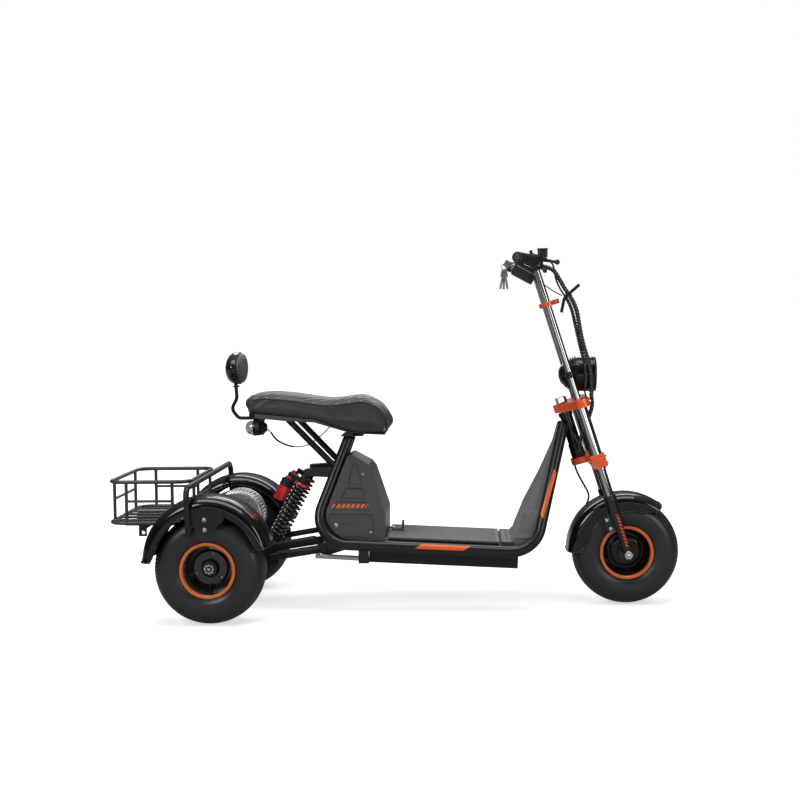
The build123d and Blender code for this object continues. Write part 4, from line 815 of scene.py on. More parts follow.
NODE_FINISH: dict[Finish, str] = {
    RAIL_PAINT: "frame_rail_right frame_rail_left frame_cross_members",
    GLOSS_BLACK: "head_tube seat_struts seat_pan headlight",
    SATIN_BLACK: "backrest_rod battery_box swing_arm axle_housing shock_dampers "
    "guard_hoop basket_carrier handlebar",
    TRAY_PLASTIC: "floor_tray",
    SHIELD_PLASTIC: "leg_shield",
    COVER_PLASTIC: "body_cover",
    CASE_PLASTIC: "battery_pack tail_lamp bar_controls dash",
    MAT_RUBBER: "floor_lid",
    BASKET_BLACK: "luggage_basket basket_sides basket_ends basket_rail",
    CHROME: "steering_stem fork_tubes",
    ORANGE_ANODISED: "upper_yoke bar_yoke",
    FORK_SLIDER: "fork_sliders",
    STEEL: "front_axle",
    JACKET: "cable_strap",
    ZINC: "key_switch side_stand",
    FRONT_RIM: "front_rim",
    RIGHT_RIM: "rear_rim_right",
    LEFT_RIM: "rear_rim_left",
}


def dress_nodes() -> None:
    """Give each CAD node that stays in view its finish."""
    for finish, names in NODE_FINISH.items():
        for name in names.split():
            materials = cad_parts[name].data.materials
            materials.clear()
            materials.append(finish.material())
            log.info("%s is finished in %s", name, finish.name)


# ---------------------------------------------------------------------------------------------------- studio
@dataclass
class Softbox:
    """A rectangular light that faces a point."""

    name: str
    place: Point
    faces: Point
    size: tuple[float, float]
    power: float

    def hang(self) -> None:
        """Add the light."""
        light = bpy.data.lights.new(self.name, "AREA")
        light.shape = "RECTANGLE"
        light.size, light.size_y = self.size
        light.energy = self.power
        holder = in_scene(self.name, light)
        holder.location = self.place
        holder.rotation_euler = (Vector(self.faces) - Vector(self.place)).to_track_quat("-Z", "Y").to_euler()


@dataclass
class Studio:
    """The camera, the soft lights and the pale floor."""

    eye: Point = (0.2332, -4.5908, 0.9345)
    heading: float = radians(2.77)
    pitch: float = radians(3.06)
    roll: float = radians(-0.73)
    lens: float = 61.4
    floor_size: float = 40.0

    def build(self) -> None:
        """Make them all."""
        self.aim_camera()
        self.light_world()
        for box in self.softboxes():
            box.hang()
        self.lay_floor()
        bpy.context.scene.view_settings.view_transform = "Standard"

    def aim_camera(self) -> None:
        """Put the camera where it looks along the heading, pitched down, then rolled about its own axis."""
        level = cos(self.pitch)
        ahead = Vector((-sin(self.heading) * level, cos(self.heading) * level, -sin(self.pitch)))
        right = Vector((cos(self.heading), sin(self.heading), 0))
        up = right.cross(ahead)
        rolled_right = right * cos(self.roll) + up * sin(self.roll)
        rolled_up = up * cos(self.roll) - right * sin(self.roll)
        turn = Matrix((rolled_right, rolled_up, -ahead)).transposed().to_4x4()
        data = bpy.data.cameras.new("camera")
        data.lens = self.lens
        data.sensor_width = 36
        camera = in_scene("camera", data)
        camera.matrix_world = Matrix.Translation(self.eye) @ turn
        bpy.context.scene.camera = camera

    def light_world(self) -> None:
        """White where the camera looks past the scooter, and a softer grey for all that the world lights."""
        world = bpy.data.worlds.new("studio")
        bpy.context.scene.world = world
        world.use_nodes = True
        bench = Bench(world.node_tree)
        backdrop = world.node_tree.nodes["Background"]
        backdrop.inputs["Color"].default_value = (1, 1, 1, 1)
        backdrop.inputs["Strength"].default_value = 1.0
        ambient = bench.add("ShaderNodeBackground")
        bench.feed(ambient.inputs["Color"], (0.96, 0.98, 1.0, 1))
        bench.feed(ambient.inputs["Strength"], self.sky(bench))
        switch = bench.add("ShaderNodeMixShader")
        bench.feed(switch.inputs[0], bench.add("ShaderNodeLightPath").outputs["Is Camera Ray"])
        bench.feed(switch.inputs[1], ambient.outputs[0])
        bench.feed(switch.inputs[2], backdrop.outputs[0])
        bench.feed(world.node_tree.nodes["World Output"].inputs["Surface"], switch.outputs[0])

    def sky(self, bench: Bench) -> Socket:
        """How bright the room is in a direction: brighter towards the ceiling, and dark behind the camera."""
        way = bench.add("ShaderNodeTexCoord").outputs["Generated"]
        _, back, up = bench.axes(way)
        open_ = bench.plus(0.05, bench.times(bench.ramp(up, 0.25, 0.95), 0.3))
        return bench.times(open_, bench.plus(0.3, bench.times(bench.ramp(back, -0.95, -0.1), 0.7)))

    def softboxes(self) -> list[Softbox]:
        """The overhead box, the key from the front left, and two strips that draw lines along the paint."""
        return [
            Softbox("overhead", (0.0, -0.3, 3.4), (0.0, 0.0, 0.4), (3.2, 1.6), 62),
            Softbox("key", (-2.3, -3.0, 2.5), (0.0, 0.0, 0.5), (1.5, 1.5), 58),
            Softbox("fill", (2.7, -2.6, 1.5), (0.2, 0.0, 0.5), (1.0, 1.8), 26),
            Softbox("low_strip", (0.3, -3.2, 0.5), (0.1, 0.0, 0.35), (3.0, 0.25), 5),
            Softbox("back", (0.2, 3.2, 2.2), (0.0, 0.0, 0.5), (3.0, 1.2), 34),
        ]

    def lay_floor(self) -> None:
        """The floor: nearly white, lit a little from within so that it meets the backdrop without an edge."""
        half = self.floor_size / 2
        mesh = bpy.data.meshes.new("floor")
        corners = [(-half, -half, 0), (half, -half, 0), (half, half, 0), (-half, half, 0)]
        mesh.from_pydata(corners, [], [(0, 1, 2, 3)])
        floor = in_scene("floor", mesh)
        material = bpy.data.materials.new("floor")
        material.use_nodes = True
        shader = material.node_tree.nodes["Principled BSDF"]
        shader.inputs["Roughness"].default_value = 0.9
        shader.inputs["Specular IOR Level"].default_value = 0.1
        shader.inputs["Emission Color"].default_value = (1, 1, 1, 1)
        bench = Bench(material.node_tree)
        distance = bench.add("ShaderNodeVectorMath", operation="LENGTH")
        bench.feed(distance.inputs[0], bench.position())
        far = bench.ramp(distance.outputs["Value"], 0.8, 3.0)
        seen = bench.add("ShaderNodeLightPath").outputs["Is Camera Ray"]
        bench.feed(shader.inputs["Base Color"], bench.mix(seen, (0.3, 0.3, 0.3), (0.86, 0.86, 0.86)))
        glow = bench.plus(0.62, bench.times(far, 0.5))
        strength = bench.times(glow, bench.plus(0.12, bench.times(seen, 0.88)))
        bench.feed(shader.inputs["Emission Strength"], strength)
        mesh.materials.append(material)


# ----------------------------------------------------------------------------------------------------- cords
def wrapped(path: Array, part: tuple[float, float], radius: float, pitch: float, depth: float = 1.8) -> Shape:
    """Spiral wrap along part of a cord: a tube whose ridge climbs round it as a helix.

    Args:
        path: The cord's own points, in metres.
        part: The shares of its length between which the wrap lies.
        radius: The wrap's outer radius in millimetres.
        pitch: The distance between turns in millimetres; none makes a plain sleeve.
        depth: How deep the gap between turns is.

    Returns:
        The shape of the wrap.
    """
    line = even_steps(drawn(path), 400)
    line = line[int(part[0] * 399) : int(part[1] * 399) + 1]
    length = np.linalg.norm(np.diff(line, axis=0), axis=1).sum()
    if not pitch:
        return Shape().tube(line, radius, 16)
    fine = even_steps(line, int(length / pitch * 8))
    along = np.linspace(0, length / pitch * 2 * pi, len(fine))[:, None]
    turn = full_turn(20)[None]
    gap = soft_step(9 * (np.cos(along + turn) - 0.62))
    return Shape().tube(fine, radius - depth * gap, 20)


@dataclass
class Cord:
    """A cord between two pieces of the scooter, on one smooth line through its route."""

    name: str
    route: Array
    radius: float
    length: float
    body: Body
    stiffness: str = "medium"
    lay: str = "loose"
    ridge_pitch: float = 0.0
    wrap: tuple[float, float, float, float] | None = None

    def line(self) -> Object:
        """The cord as a NURBS curve of one spline."""
        points = row(self.route)
        curve = bpy.data.curves.new(self.name, "CURVE")
        curve.dimensions = "3D"
        curve.resolution_u = 12
        spline = curve.splines.new("NURBS")
        spline.points.add(len(points) - 1)
        spline.points.foreach_set("co", np.hstack([points, np.ones((len(points), 1))]).ravel())
        spline.points.foreach_set("radius", np.full(len(points), self.radius / 1000))
        spline.order_u = 3
        spline.use_endpoint_u = True
        return in_scene(self.name + "_cord", curve)

    def build(self) -> Object:
        """Make the cord: a round curve, or a ribbed tube that follows it if it has ridges."""
        line = self.line()
        path = None
        if self.ridge_pitch:
            piece, path = self.ribbed(line)
        else:
            line.data.bevel_depth = 1.0
            line.data.bevel_resolution = 4
            line.data.use_fill_caps = True
            piece = line
        place(piece, JACKET, self.body, (self.name,))
        sleeves = []
        if self.wrap:
            start, end, radius, pitch = self.wrap
            sleeve = wrapped(self.points(line), (start, end), radius, pitch).make(self.name + "_wrap", 180)
            sleeves = [place(sleeve, JACKET, self.body)]
        return piece

    def points(self, line: Object) -> Array:
        """The points of the curve itself, read from it without its bevel."""
        bevel, line.data.bevel_depth = line.data.bevel_depth, 0.0
        bpy.context.view_layer.update()
        flat = bpy.data.meshes.new_from_object(line.evaluated_get(bpy.context.evaluated_depsgraph_get()))
        path = vertex_array(flat)
        bpy.data.meshes.remove(flat)
        line.data.bevel_depth = bevel
        return path

    def ribbed(self, line: Object) -> tuple[Object, Array]:
        """A tube whose radius rises and falls along the curve's own points, as convoluted conduit does.

        Args:
            line: The cord's curve, which is removed.

        Returns:
            The tube, and the points that it follows.
        """
        path = self.points(line)
        bpy.data.objects.remove(line)
        return wrapped(path, (0.0, 1.0), self.radius, self.ridge_pitch).make(self.name + "_tube", 180), path


@dataclass
class Cords:
    """Every cord of the scooter."""

    bundle_length: float = 679.0
    brake_length: float = 564.0
    dash_length: float = 111.0
    hose_length: float = 184.0
    lamp_length: float = 265.0

    def build(self) -> None:
        """Make the five cords."""
        for cord in (self.bundle(), self.brake_cable(), self.dash_lead(), self.hose(), self.lamp_lead()):
            cord.build()

    def bundle(self) -> Cord:
        """The conduit from the bar down to the lower yoke."""
        route = [
            (22.5, -34, 991.8), (54, -40, 974), (63, -47, 938), (71, -54, 895), (83, -61, 856),
            (86, -66, 815), (80, -69, 775), (74, -71, 735), (71, -71, 690), (72, -70, 640), (63, -68, 580),
            (45.3, -60, 532), (42.2, -56, 502), (14, -57, 462), (-14, -56, 428), (-33, -55, 404),
            (-43, -54.5, 387), (-43, -54.5, 368.3),
        ]
        return Cord(
            "cable_bundle", on_fork(route), 7.5, self.bundle_length, Body.STEERING, "stiff", ridge_pitch=11.0
        )

    def brake_cable(self) -> Cord:
        """The brake cable from the right lever to the upper yoke."""
        route = [
            (31, -189.9, 1001.5), (36, -172, 1000), (46, -145, 994), (54, -114, 981), (54, -84, 962),
            (51, -62, 933), (57.3, -48, 895), (69.3, -55, 856), (72, -56, 820), (68, -57, 780),
            (64, -58, 735), (60, -60, 690), (58, -64.5, 640), (50, -64.5, 602), (41, -60, 577),
            (31, -50, 558), (30, -46, 548), (30, -46, 535.4),
        ]
        return Cord(
            "brake_cable", on_fork(route), 3.0, self.brake_length, Body.STEERING, wrap=(0.4, 0.93, 6.0, 9.5)
        )

    def dash_lead(self) -> Cord:
        """The lead from the display into the conduit."""
        route = [
            (-11, -20, 959.9), (-3, -20.8, 950.5), (9, -26, 934), (22, -34, 915.5), (35, -42, 899),
            (46, -47.5, 886.5), (55.8, -50.6, 877.5),
        ]
        return Cord("dash_lead", on_fork(route), 2.0, self.dash_length, Body.STEERING)

    def hose(self) -> Cord:
        """The brake hose from the lower yoke to the front fender's bracket."""
        route = [
            (-72, -14, 336.7), (-75, -24, 312), (-71, -34, 284), (-65, -42, 254), (-59, -47, 226),
            (-66, -50, 205), (-83, -52, 187), (-97, -54, 173),
        ]
        return Cord(
            "front_brake_hose", on_fork(route), 2.5, self.hose_length, Body.STEERING,
            wrap=(0.04, 0.94, 3.6, 0.0)
        )

    def lamp_lead(self) -> Cord:
        """The tail lamp's lead, which sags under the seat."""
        route = [
            (143.1, 0, 593), (152, -1, 588.5), (162, -3, 573), (176, -6, 556), (206, -10, 541),
            (240, -12, 533), (274, -12, 537), (306, -10, 555), (336, -8, 580), (362, -8, 606),
        ]
        return Cord(
            "tail_lamp_lead", np.asarray(route, float), 2.0, self.lamp_length, Body.CHASSIS, lay="hanging",
            wrap=(0.06, 0.42, 3.2, 0.0)
        )


# ---------------------------------------------------------------------------------------------------- wheels
@dataclass
class Wheel:
    """A tyre on its rim, with its axle across."""

    name: str
    middle: Point
    body: Body
    tyre_node: str
    notches: int = 92
    around: int = 460
    groove_depth: float = 3.0
    grooves: tuple[float, ...] = (-38.0, -14.0, 14.0, 38.0)

    def section(self) -> Array:
        """The tyre's section from bead to bead, as (distance from the middle plane, radius)."""
        wall = arc_through((62.7, 90), (75.0, 121), (58, 164.5), 26)
        crown = arc_through((58, 164.5), (0, TYRE_RADIUS), (-58, 164.5), 84)[:42]
        bead = np.array([[56.0, 84.5], [60.5, 84.5], [62.3, 86.5]])
        half = np.vstack([bead, wall[:-1], crown])
        soft = half.copy()
        for _ in range(2):
            soft[4:-1] = (soft[3:-2] + 2 * soft[4:-1] + soft[5:]) / 4
        return np.vstack([soft, soft[::-1] * (-1, 1)])

    def build(self) -> Object:
        """Make the tyre: its section carried round the axle, sunk at the grooves and the side notches."""
        section = self.section()
        across, radius = section[:, 0], section[:, 1]
        turn = full_turn(self.around)[:, None]
        drop = sum(self.groove_depth * ridge(across, g, 2.2, 4) for g in self.grooves)
        drop = drop * (radius > 160)
        step = soft_step(14 * (np.cos(self.notches * turn + 0.03 * np.abs(across) * 2) - 0.45))
        shoulder = ridge(np.abs(across), 55, 9.0, 4) * (radius > 150)
        middle = ridge(np.abs(across), 26, 8.0, 4) * (radius > 160)
        sunk = drop + step * (2.6 * shoulder + 1.6 * middle)
        rings = sum(0.7 * ridge(radius, r, 1.7) for r in (97, 104, 139, 148)) * (radius < 158)
        outward = np.sign(across) * rings
        r = radius - sunk
        x = r * np.cos(turn)
        z = r * np.sin(turn)
        y = np.broadcast_to(across + outward, x.shape)
        grid = np.stack([x, y, z], -1) + np.asarray(self.middle, float)
        tyre = Shape().sheet(grid, wrap_rows=True, wrap_columns=True).make(self.name + "_tread", 50)
        return place(tyre, TYRE_RUBBER, self.body, (self.tyre_node,))


# --------------------------------------------------------------------------------------------------- padding
@dataclass
class Padding:
    """Foam under vinyl: a closed shell that is inflated as cloth with its base held, and then subdivided."""

    voxel: float = 5.0
    pressure: float = 4.0
    most: float = 7.0
    frames: int = 20

    def inflate(self, shell: Object, held: Array | None = None) -> Object:
        """Swell a shell.

        Args:
            shell: The closed shell, a little smaller than the finished pad.
            held: The base's line as (x, height) in metres; points just above it are held, higher ones free.

        Returns:
            The finished pad, without modifiers.
        """
        self.apply(shell, "REMESH", mode="VOXEL", voxel_size=self.voxel / 1000)
        self.apply(shell, "SMOOTH", factor=0.5, iterations=4)
        self.swell(shell, held)
        self.apply(shell, "SUBSURF", levels=1, render_levels=1)
        shell.data.polygons.foreach_set("use_smooth", np.ones(len(shell.data.polygons), bool))
        return shell

    def swell(self, shell: Object, held: Array | None) -> None:
        """Run the cloth for some frames under pressure, and move each point by at most the cap."""
        before = vertex_array(shell.data)
        group = shell.vertex_groups.new(name="held")
        grip = np.zeros(len(before))
        if held is not None:
            floor = np.interp(before[:, 0], held[:, 0], held[:, 1])
            grip = np.clip(1 - (before[:, 2] - floor - 0.006) / 0.02, 0, 1)
        for weight in (0.25, 0.5, 0.75, 1.0):
            members = np.flatnonzero((grip > weight - 0.25) & (grip <= weight))
            group.add(members.tolist(), weight, "REPLACE")
        cloth = shell.modifiers.new("cloth", "CLOTH")
        cloth.settings.quality = 6
        cloth.settings.mass = 0.3
        cloth.settings.tension_stiffness = cloth.settings.compression_stiffness = 20
        cloth.settings.shear_stiffness = 10
        cloth.settings.bending_stiffness = 6
        cloth.settings.use_pressure = True
        cloth.settings.uniform_pressure_force = self.pressure
        cloth.settings.vertex_group_mass = "held"
        cloth.settings.effector_weights.gravity = 0
        cloth.collision_settings.use_collision = False
        cloth.point_cache.frame_start, cloth.point_cache.frame_end = 1, self.frames
        for step in range(1, self.frames + 1):
            bpy.context.scene.frame_set(step)
        swollen = shell.evaluated_get(bpy.context.evaluated_depsgraph_get()).to_mesh()
        after = vertex_array(swollen)
        shell.modifiers.remove(cloth)
        bpy.context.scene.frame_set(1)
        moved = after - before
        far = np.linalg.norm(moved, axis=1, keepdims=True)
        limit = self.most / 1000
        moved *= limit * np.tanh(far / limit) / np.maximum(far, 1e-9)
        set_vertices(shell.data, before + moved)
        shell.vertex_groups.clear()

    def apply(self, piece: Object, kind: str, **settings: object) -> None:
        """Add a modifier and keep its result as the piece's mesh."""
        modifier = piece.modifiers.new(kind.lower(), kind)
        for name, value in settings.items():
            setattr(modifier, name, value)
        bpy.context.view_layer.update()
        made = bpy.data.meshes.new_from_object(piece.evaluated_get(bpy.context.evaluated_depsgraph_get()))
        piece.modifiers.remove(modifier)
        old = piece.data
        piece.data = made
        bpy.data.meshes.remove(old)


def on_surface(piece: Object, points: Array, lift: float = 0.0) -> Array:
    """The nearest points of a piece to drawing points, lifted along its normals by some millimetres."""
    found = []
    for target in row(points):
        _, spot, normal, _ = piece.closest_point_on_mesh(target)
        found.append(drawn(spot) + np.array(normal) * lift)
    return np.array(found)


def vertex_normals(mesh: Mesh) -> Array:
    """The mesh's smooth normals as one array."""
    flat = np.empty(len(mesh.vertices) * 3)
    mesh.vertex_normals.foreach_get("vector", flat)
    return flat.reshape(-1, 3)


def sink_points(mesh: Mesh, depth: Array) -> None:
    """Push each of the mesh's points inwards along its normal by a depth in millimetres."""
    set_vertices(mesh, vertex_array(mesh) - vertex_normals(mesh) * depth[:, None] / 1000)


@dataclass(frozen=True)
class QuiltedVinyl(Vinyl):
    """Seat vinyl with a grey top panel, where the attribute panel is 1, and pale stitching along chevrons;
    the stitching's pale colour and width also serve as a painted highlight along the channels' folds.
    """

    panel_colour: Colour = (0.036, 0.036, 0.038)
    # pale thread colour: the stitching, and also a painted highlight along the channels' folds
    thread: Colour = (0.5, 0.5, 0.5)
    pitch: float = 38.0
    lean: float = 0.85
    stitch: float = 4.2
    thread_height: float = 0.0006

    def phase(self, bench: Bench) -> tuple[Socket, Socket]:
        """How far a point is from the nearest channel, in pitches, and how far along it, in stitches."""
        x, y, _ = bench.axes(bench.position())
        out = bench.math("ABSOLUTE", y)
        across = bench.plus(x, bench.times(out, self.lean))
        cycles = bench.plus(bench.times(across, 1000 / self.pitch), 50.0)
        near = bench.math("ABSOLUTE", bench.minus(bench.math("FRACT", cycles), 0.5))
        dash = bench.math("FRACT", bench.plus(bench.times(out, 1320 / self.stitch), 50.0))
        return near, bench.math("GREATER_THAN", dash, 0.3)

    def panel(self, bench: Bench) -> Socket:
        """1 on the top panel."""
        made = bench.add("ShaderNodeAttribute", attribute_name="panel")
        return bench.ramp(made.outputs["Fac"], -0.4, 0.4)

    def tint(self, bench: Bench, colour: Socket) -> Socket:
        """Lay the grey panel over the side vinyl, and the pale thread over the panel; the thread also serves
        as a painted highlight along the folds.
        """
        sides = super().tint(bench, colour)
        panel = self.panel(bench)
        lighter = tuple(1.25 * c for c in self.panel_colour)
        mottled = bench.mix(bench.noise(bench.position(), 150.0, 4), self.panel_colour, lighter)
        near, dash = self.phase(bench)
        line = bench.math("LESS_THAN", near, 1.3 / self.pitch)
        stitched_with_fold_sheen = bench.mix(bench.times(line, dash), mottled, self.thread)
        return bench.mix(panel, sides, stitched_with_fold_sheen)

    def relief(self, bench: Bench, normal: Socket) -> Socket:
        """Raise the hide, and the thread a little above it."""
        grained = super().relief(bench, normal)
        near, dash = self.phase(bench)
        thread = bench.times(bench.ramp(near, 1.1 / self.pitch, 0.2 / self.pitch), dash)
        raised = bench.times(thread, self.panel(bench))
        return bench.bump(bench.times(raised, self.thread_height), grained)


SEAT_VINYL = QuiltedVinyl(
    "seat_vinyl_quilted", (0.036, 0.036, 0.037), 0.4, coat=0.12, coat_roughness=0.28, spread=0.1, edge_wear_and_sheen=0.0,
    slot="seat_vinyl"
)
PAD_VINYL = Vinyl(
    "backrest_vinyl", (0.11, 0.111, 0.115), 0.5, spread=0.1, edge_wear_and_sheen=0.0, mottle=0.25, slot="seat_vinyl"
)
PIPING = Finish("seat_piping", (0.01, 0.01, 0.01), 0.35, coat=0.3, edge_wear_and_sheen=0.0, edge=0.0003, slot="seat_vinyl")


@dataclass
class Saddle:
    """The seat cushion: a grey quilted panel over smooth dark sides, with piping along their seam."""

    outline: list = field(
        default_factory=lambda: [
            (552, 585), (574, 614), (564, 645), (537, 683), (505, 701), (460, 708), (361, 699), (238, 716),
            (150, 722), (92, 712), (78, 690), (96, 658),
        ]
    )
    underside: list = field(
        default_factory=lambda: [(552, 585), (445, 591), (413, 600), (316, 633), (216, 645), (96, 658)]
    )
    half_width: float = 132.0
    nose_half_width: float = 112.0
    corner: float = 45.0
    crown: float = 14.0
    panel_rear: float = 95.0
    shrink: float = 3.5
    channel_depth: float = 3.0

    def curve(self, count: int = 140) -> tuple[Array, Array]:
        """The side outline from the nose's foot to the rear's, with its outward normals."""
        line = smooth_line(self.outline, count)
        tangent = np.gradient(line, axis=0)
        tangent /= np.linalg.norm(tangent, axis=1, keepdims=True)
        return line, np.stack([-tangent[:, 1], tangent[:, 0]], -1) * -1

    def width(self, x: Array) -> Array:
        """Half the width at x: full, drawn in to the nose, with both ends rounded in plan."""
        taper = np.interp(x, (400, 580), (self.half_width, self.nose_half_width))
        rear = np.clip((70 + self.corner - x) / self.corner, 0, 1)
        front = np.clip((x - (580 - self.corner)) / self.corner, 0, 1)
        return taper - self.corner * (2 - np.sqrt(1 - rear**2) - np.sqrt(1 - front**2))

    def shell(self) -> Object:
        """The closed shell: the outline carried across with a crown, and walls down to the underside."""
        line, normal = self.curve()
        count = len(line)
        share = np.linspace(0, 1, count)
        base = even_steps(np.asarray(self.underside, float), 200)
        foot = np.stack([np.interp(share, np.linspace(0, 1, 200), base[:, k]) for k in (0, 1)], -1)
        ends = np.minimum(1, np.minimum(share, 1 - share) * 12)[:, None]
        across = np.sin(np.linspace(-pi / 2, pi / 2, 49))
        drop = self.shrink + self.crown * (1 - np.sqrt(np.clip(1 - np.abs(across) ** 3.2, 0, 1))) * ends
        top = line[:, None, :] - normal[:, None, :] * drop[..., None]
        half = self.width(top[..., 0]) - self.shrink
        crowned = np.stack([top[..., 0], half * across[None], top[..., 1]], -1)
        fall = np.linspace(0, 1, 14)[1:]
        walls = []
        for side in (-1, 1):
            edge = top[:, 0 if side < 0 else -1]
            wall = edge[:, None] * (1 - fall[None, :, None]) + foot[:, None] * fall[None, :, None]
            half = self.width(wall[..., 0]) - self.shrink + 2.0 * np.sin(pi * fall)[None]
            walls.append(np.stack([wall[..., 0], side * half, wall[..., 1]], -1))
        under = np.linspace(-1, 1, 20)[None, 1:-1, None]
        floor = walls[0][:, -1:] * (1 - under) / 2 + walls[1][:, -1:] * (1 + under) / 2
        grid = np.concatenate([crowned, walls[1], floor[:, ::-1], walls[0][:, ::-1]], 1)
        caps = [np.broadcast_to(grid[k].mean(0), grid[:1].shape) for k in (0, -1)]
        shape = Shape().sheet(np.concatenate([caps[0], grid, caps[1]]), wrap_columns=True)
        return shape.make("seat_cushion", 180)

    def from_edge(self, points: Array) -> Array:
        """How far inside the top panel each point is, by its depth under the crown and by the rear seam."""
        line, normal = self.curve(400)
        flat = points[:, [0, 2]]
        nearest = np.array([np.argmin(((line - p) ** 2).sum(1)) for p in flat])
        depth = ((line[nearest] - flat) * normal[nearest]).sum(1)
        return np.minimum(self.crown + self.shrink - 3 - depth, points[:, 0] - self.panel_rear)

    def build(self) -> None:
        """Make the cushion, sink its channels and seam, and lay the piping in the seam."""
        base = np.asarray(self.underside, float)[::-1]
        held = row(np.column_stack([base[:, 0], 0 * base[:, 0], base[:, 1]]))[:, [0, 2]]
        cushion = Padding(pressure=5.0, most=4.5).inflate(self.shell(), held)
        points = drawn(vertex_array(cushion.data))
        inside = self.from_edge(points)
        slanted = points[:, 0] - REAR_AXLE_TO_MIDDLE + SEAT_VINYL.lean * np.abs(points[:, 1])
        across = slanted / SEAT_VINYL.pitch + 50
        near = np.abs(across % 1 - 0.5) * SEAT_VINYL.pitch
        on_panel = np.clip(inside / 8, 0, 1)
        sink = self.channel_depth * ridge(near, 0, 5.5) * on_panel
        sink += 1.6 * ridge(inside, 0, 3.5)
        sink_points(cushion.data, sink)
        panel = cushion.data.attributes.new("panel", "FLOAT", "POINT")
        panel.data.foreach_set("value", inside.astype(np.float32))
        place(cushion, SEAT_VINYL, Body.CHASSIS, ("seat",))
        self.lay_piping(cushion)

    def lay_piping(self, cushion: Object) -> None:
        """The piping up one side of the nose, along the seat, across the rear and back on the other side."""
        line, normal = self.curve(150)
        edge = line - normal * (self.crown + self.shrink - 3)
        edge = edge[(edge[:, 0] > self.panel_rear + 3) | (line[:, 1] < 690)]
        behind = edge[:, 0] < self.panel_rear + 8
        if behind.any():
            edge = edge[: np.argmax(behind)]
        edge = edge[4:]
        right = np.column_stack([edge[:, 0], -self.width(edge[:, 0]), edge[:, 1]])
        y = np.linspace(-1, 1, 40)[1:-1] * (self.width(np.array([self.panel_rear]))[0] - 6)
        rear = np.column_stack([np.full(38, self.panel_rear), y, np.full(38, 716.0)])
        path = np.vstack([right, rear, right[::-1] * (1, -1, 1)])
        seated = on_surface(cushion, even_steps(path, 460), 0.6)
        for _ in range(3):
            seated[1:-1] = (seated[:-2] + seated[1:-1] + seated[2:]) / 3
        piping = Shape().tube(seated, 2.1, 10).make("seat_piping", 60)
        place(piping, PIPING, Body.CHASSIS)


@dataclass
class Backrest:
    """The oval backrest: a glossy moulded shell behind, and a vinyl pad in front with a seam round it."""

    middle: Point = (52.0, 0.0, 802.0)
    half_width: float = 108.0
    half_height: float = 54.0

    def oval(self, profile: list[tuple[float, float]], count: int = 96) -> Array:
        """Carry a profile of (x from the middle, inset) round the oval; a full inset closes it."""
        line = np.asarray(profile, float)
        turn = full_turn(count)[None]
        inset = line[:, 1:2]
        keep = 1 - inset / self.half_height
        y = (self.half_width * keep + 0.25 * inset) * np.cos(turn) * (inset < self.half_height)
        z = self.half_height * keep * np.sin(turn)
        return np.stack([np.broadcast_to(line[:, :1], y.shape), y, z], -1) + np.asarray(self.middle, float)

    def build(self) -> None:
        """Make both halves and the seam."""
        arc = np.linspace(0, pi / 2, 16)
        back = [(-8 - 31 * np.sin(a), 40 * (1 - np.cos(a)) ** 1.1) for a in arc]
        back = [(1.0, 0.8), (-4.0, 0.0), *back, (-39.6, 47), (-40.0, 54)]
        shape = Shape().sheet(self.oval([(1.0, 54), (1.0, 6), *back]), wrap_columns=True)
        shell = shape.make("backrest_shell", 40)
        place(shell, FENDER_BLACK, Body.CHASSIS, ("backrest_pad",))
        front = [(3.0 + 15 * np.sin(a), 2.5 + 34 * (1 - np.cos(a)) ** 1.3) for a in arc]
        section = [(2.0, 54), (2.0, 4), *front, (19.0, 46), (19.2, 54)]
        pad = Shape().sheet(self.oval(section), wrap_columns=True)
        cushion = Padding(voxel=4.0, pressure=4.0, most=3.5).inflate(pad.make("backrest_cushion", 180))
        points = drawn(vertex_array(cushion.data)) - np.asarray(self.middle)
        ring = np.hypot(points[:, 1] / self.half_width, points[:, 2] / self.half_height)
        sink = 1.8 * ridge(ring, 0.72, 0.035) * (points[:, 0] > 8)
        sink_points(cushion.data, sink)
        place(cushion, PAD_VINYL, Body.CHASSIS)
        turn = full_turn(120)
        seam_line = np.stack(
            [0 * turn + 1.6, (self.half_width - 1) * np.cos(turn), (self.half_height - 1) * np.sin(turn)], -1
        )
        seam = Shape().tube(seam_line + np.asarray(self.middle), 1.7, 8, close=True)
        seam = seam.make("backrest_piping", 60)
        place(seam, PIPING, Body.CHASSIS)


# ------------------------------------------------------------------------------------------------- fasteners
class Head(Enum):
    """The kinds of fastener head, each a profile of (height, radius) with its number of sides."""

    HEX = ((0.0, 1.0), (0.55, 1.0), (0.66, 0.9), (0.66, 0.35), (0.5, 0.0)), 6
    SOCKET = ((0.0, 1.0), (0.75, 1.0), (0.9, 0.88), (0.9, 0.52), (0.35, 0.46), (0.35, 0.0)), 24
    BUTTON = ((0.0, 1.0), (0.2, 0.98), (0.45, 0.78), (0.58, 0.45), (0.3, 0.4), (0.3, 0.0)), 24
    ACORN = ((0.0, 1.0), (0.5, 1.0), (0.6, 0.86), (1.0, 0.7), (1.22, 0.38), (1.3, 0.0)), 24


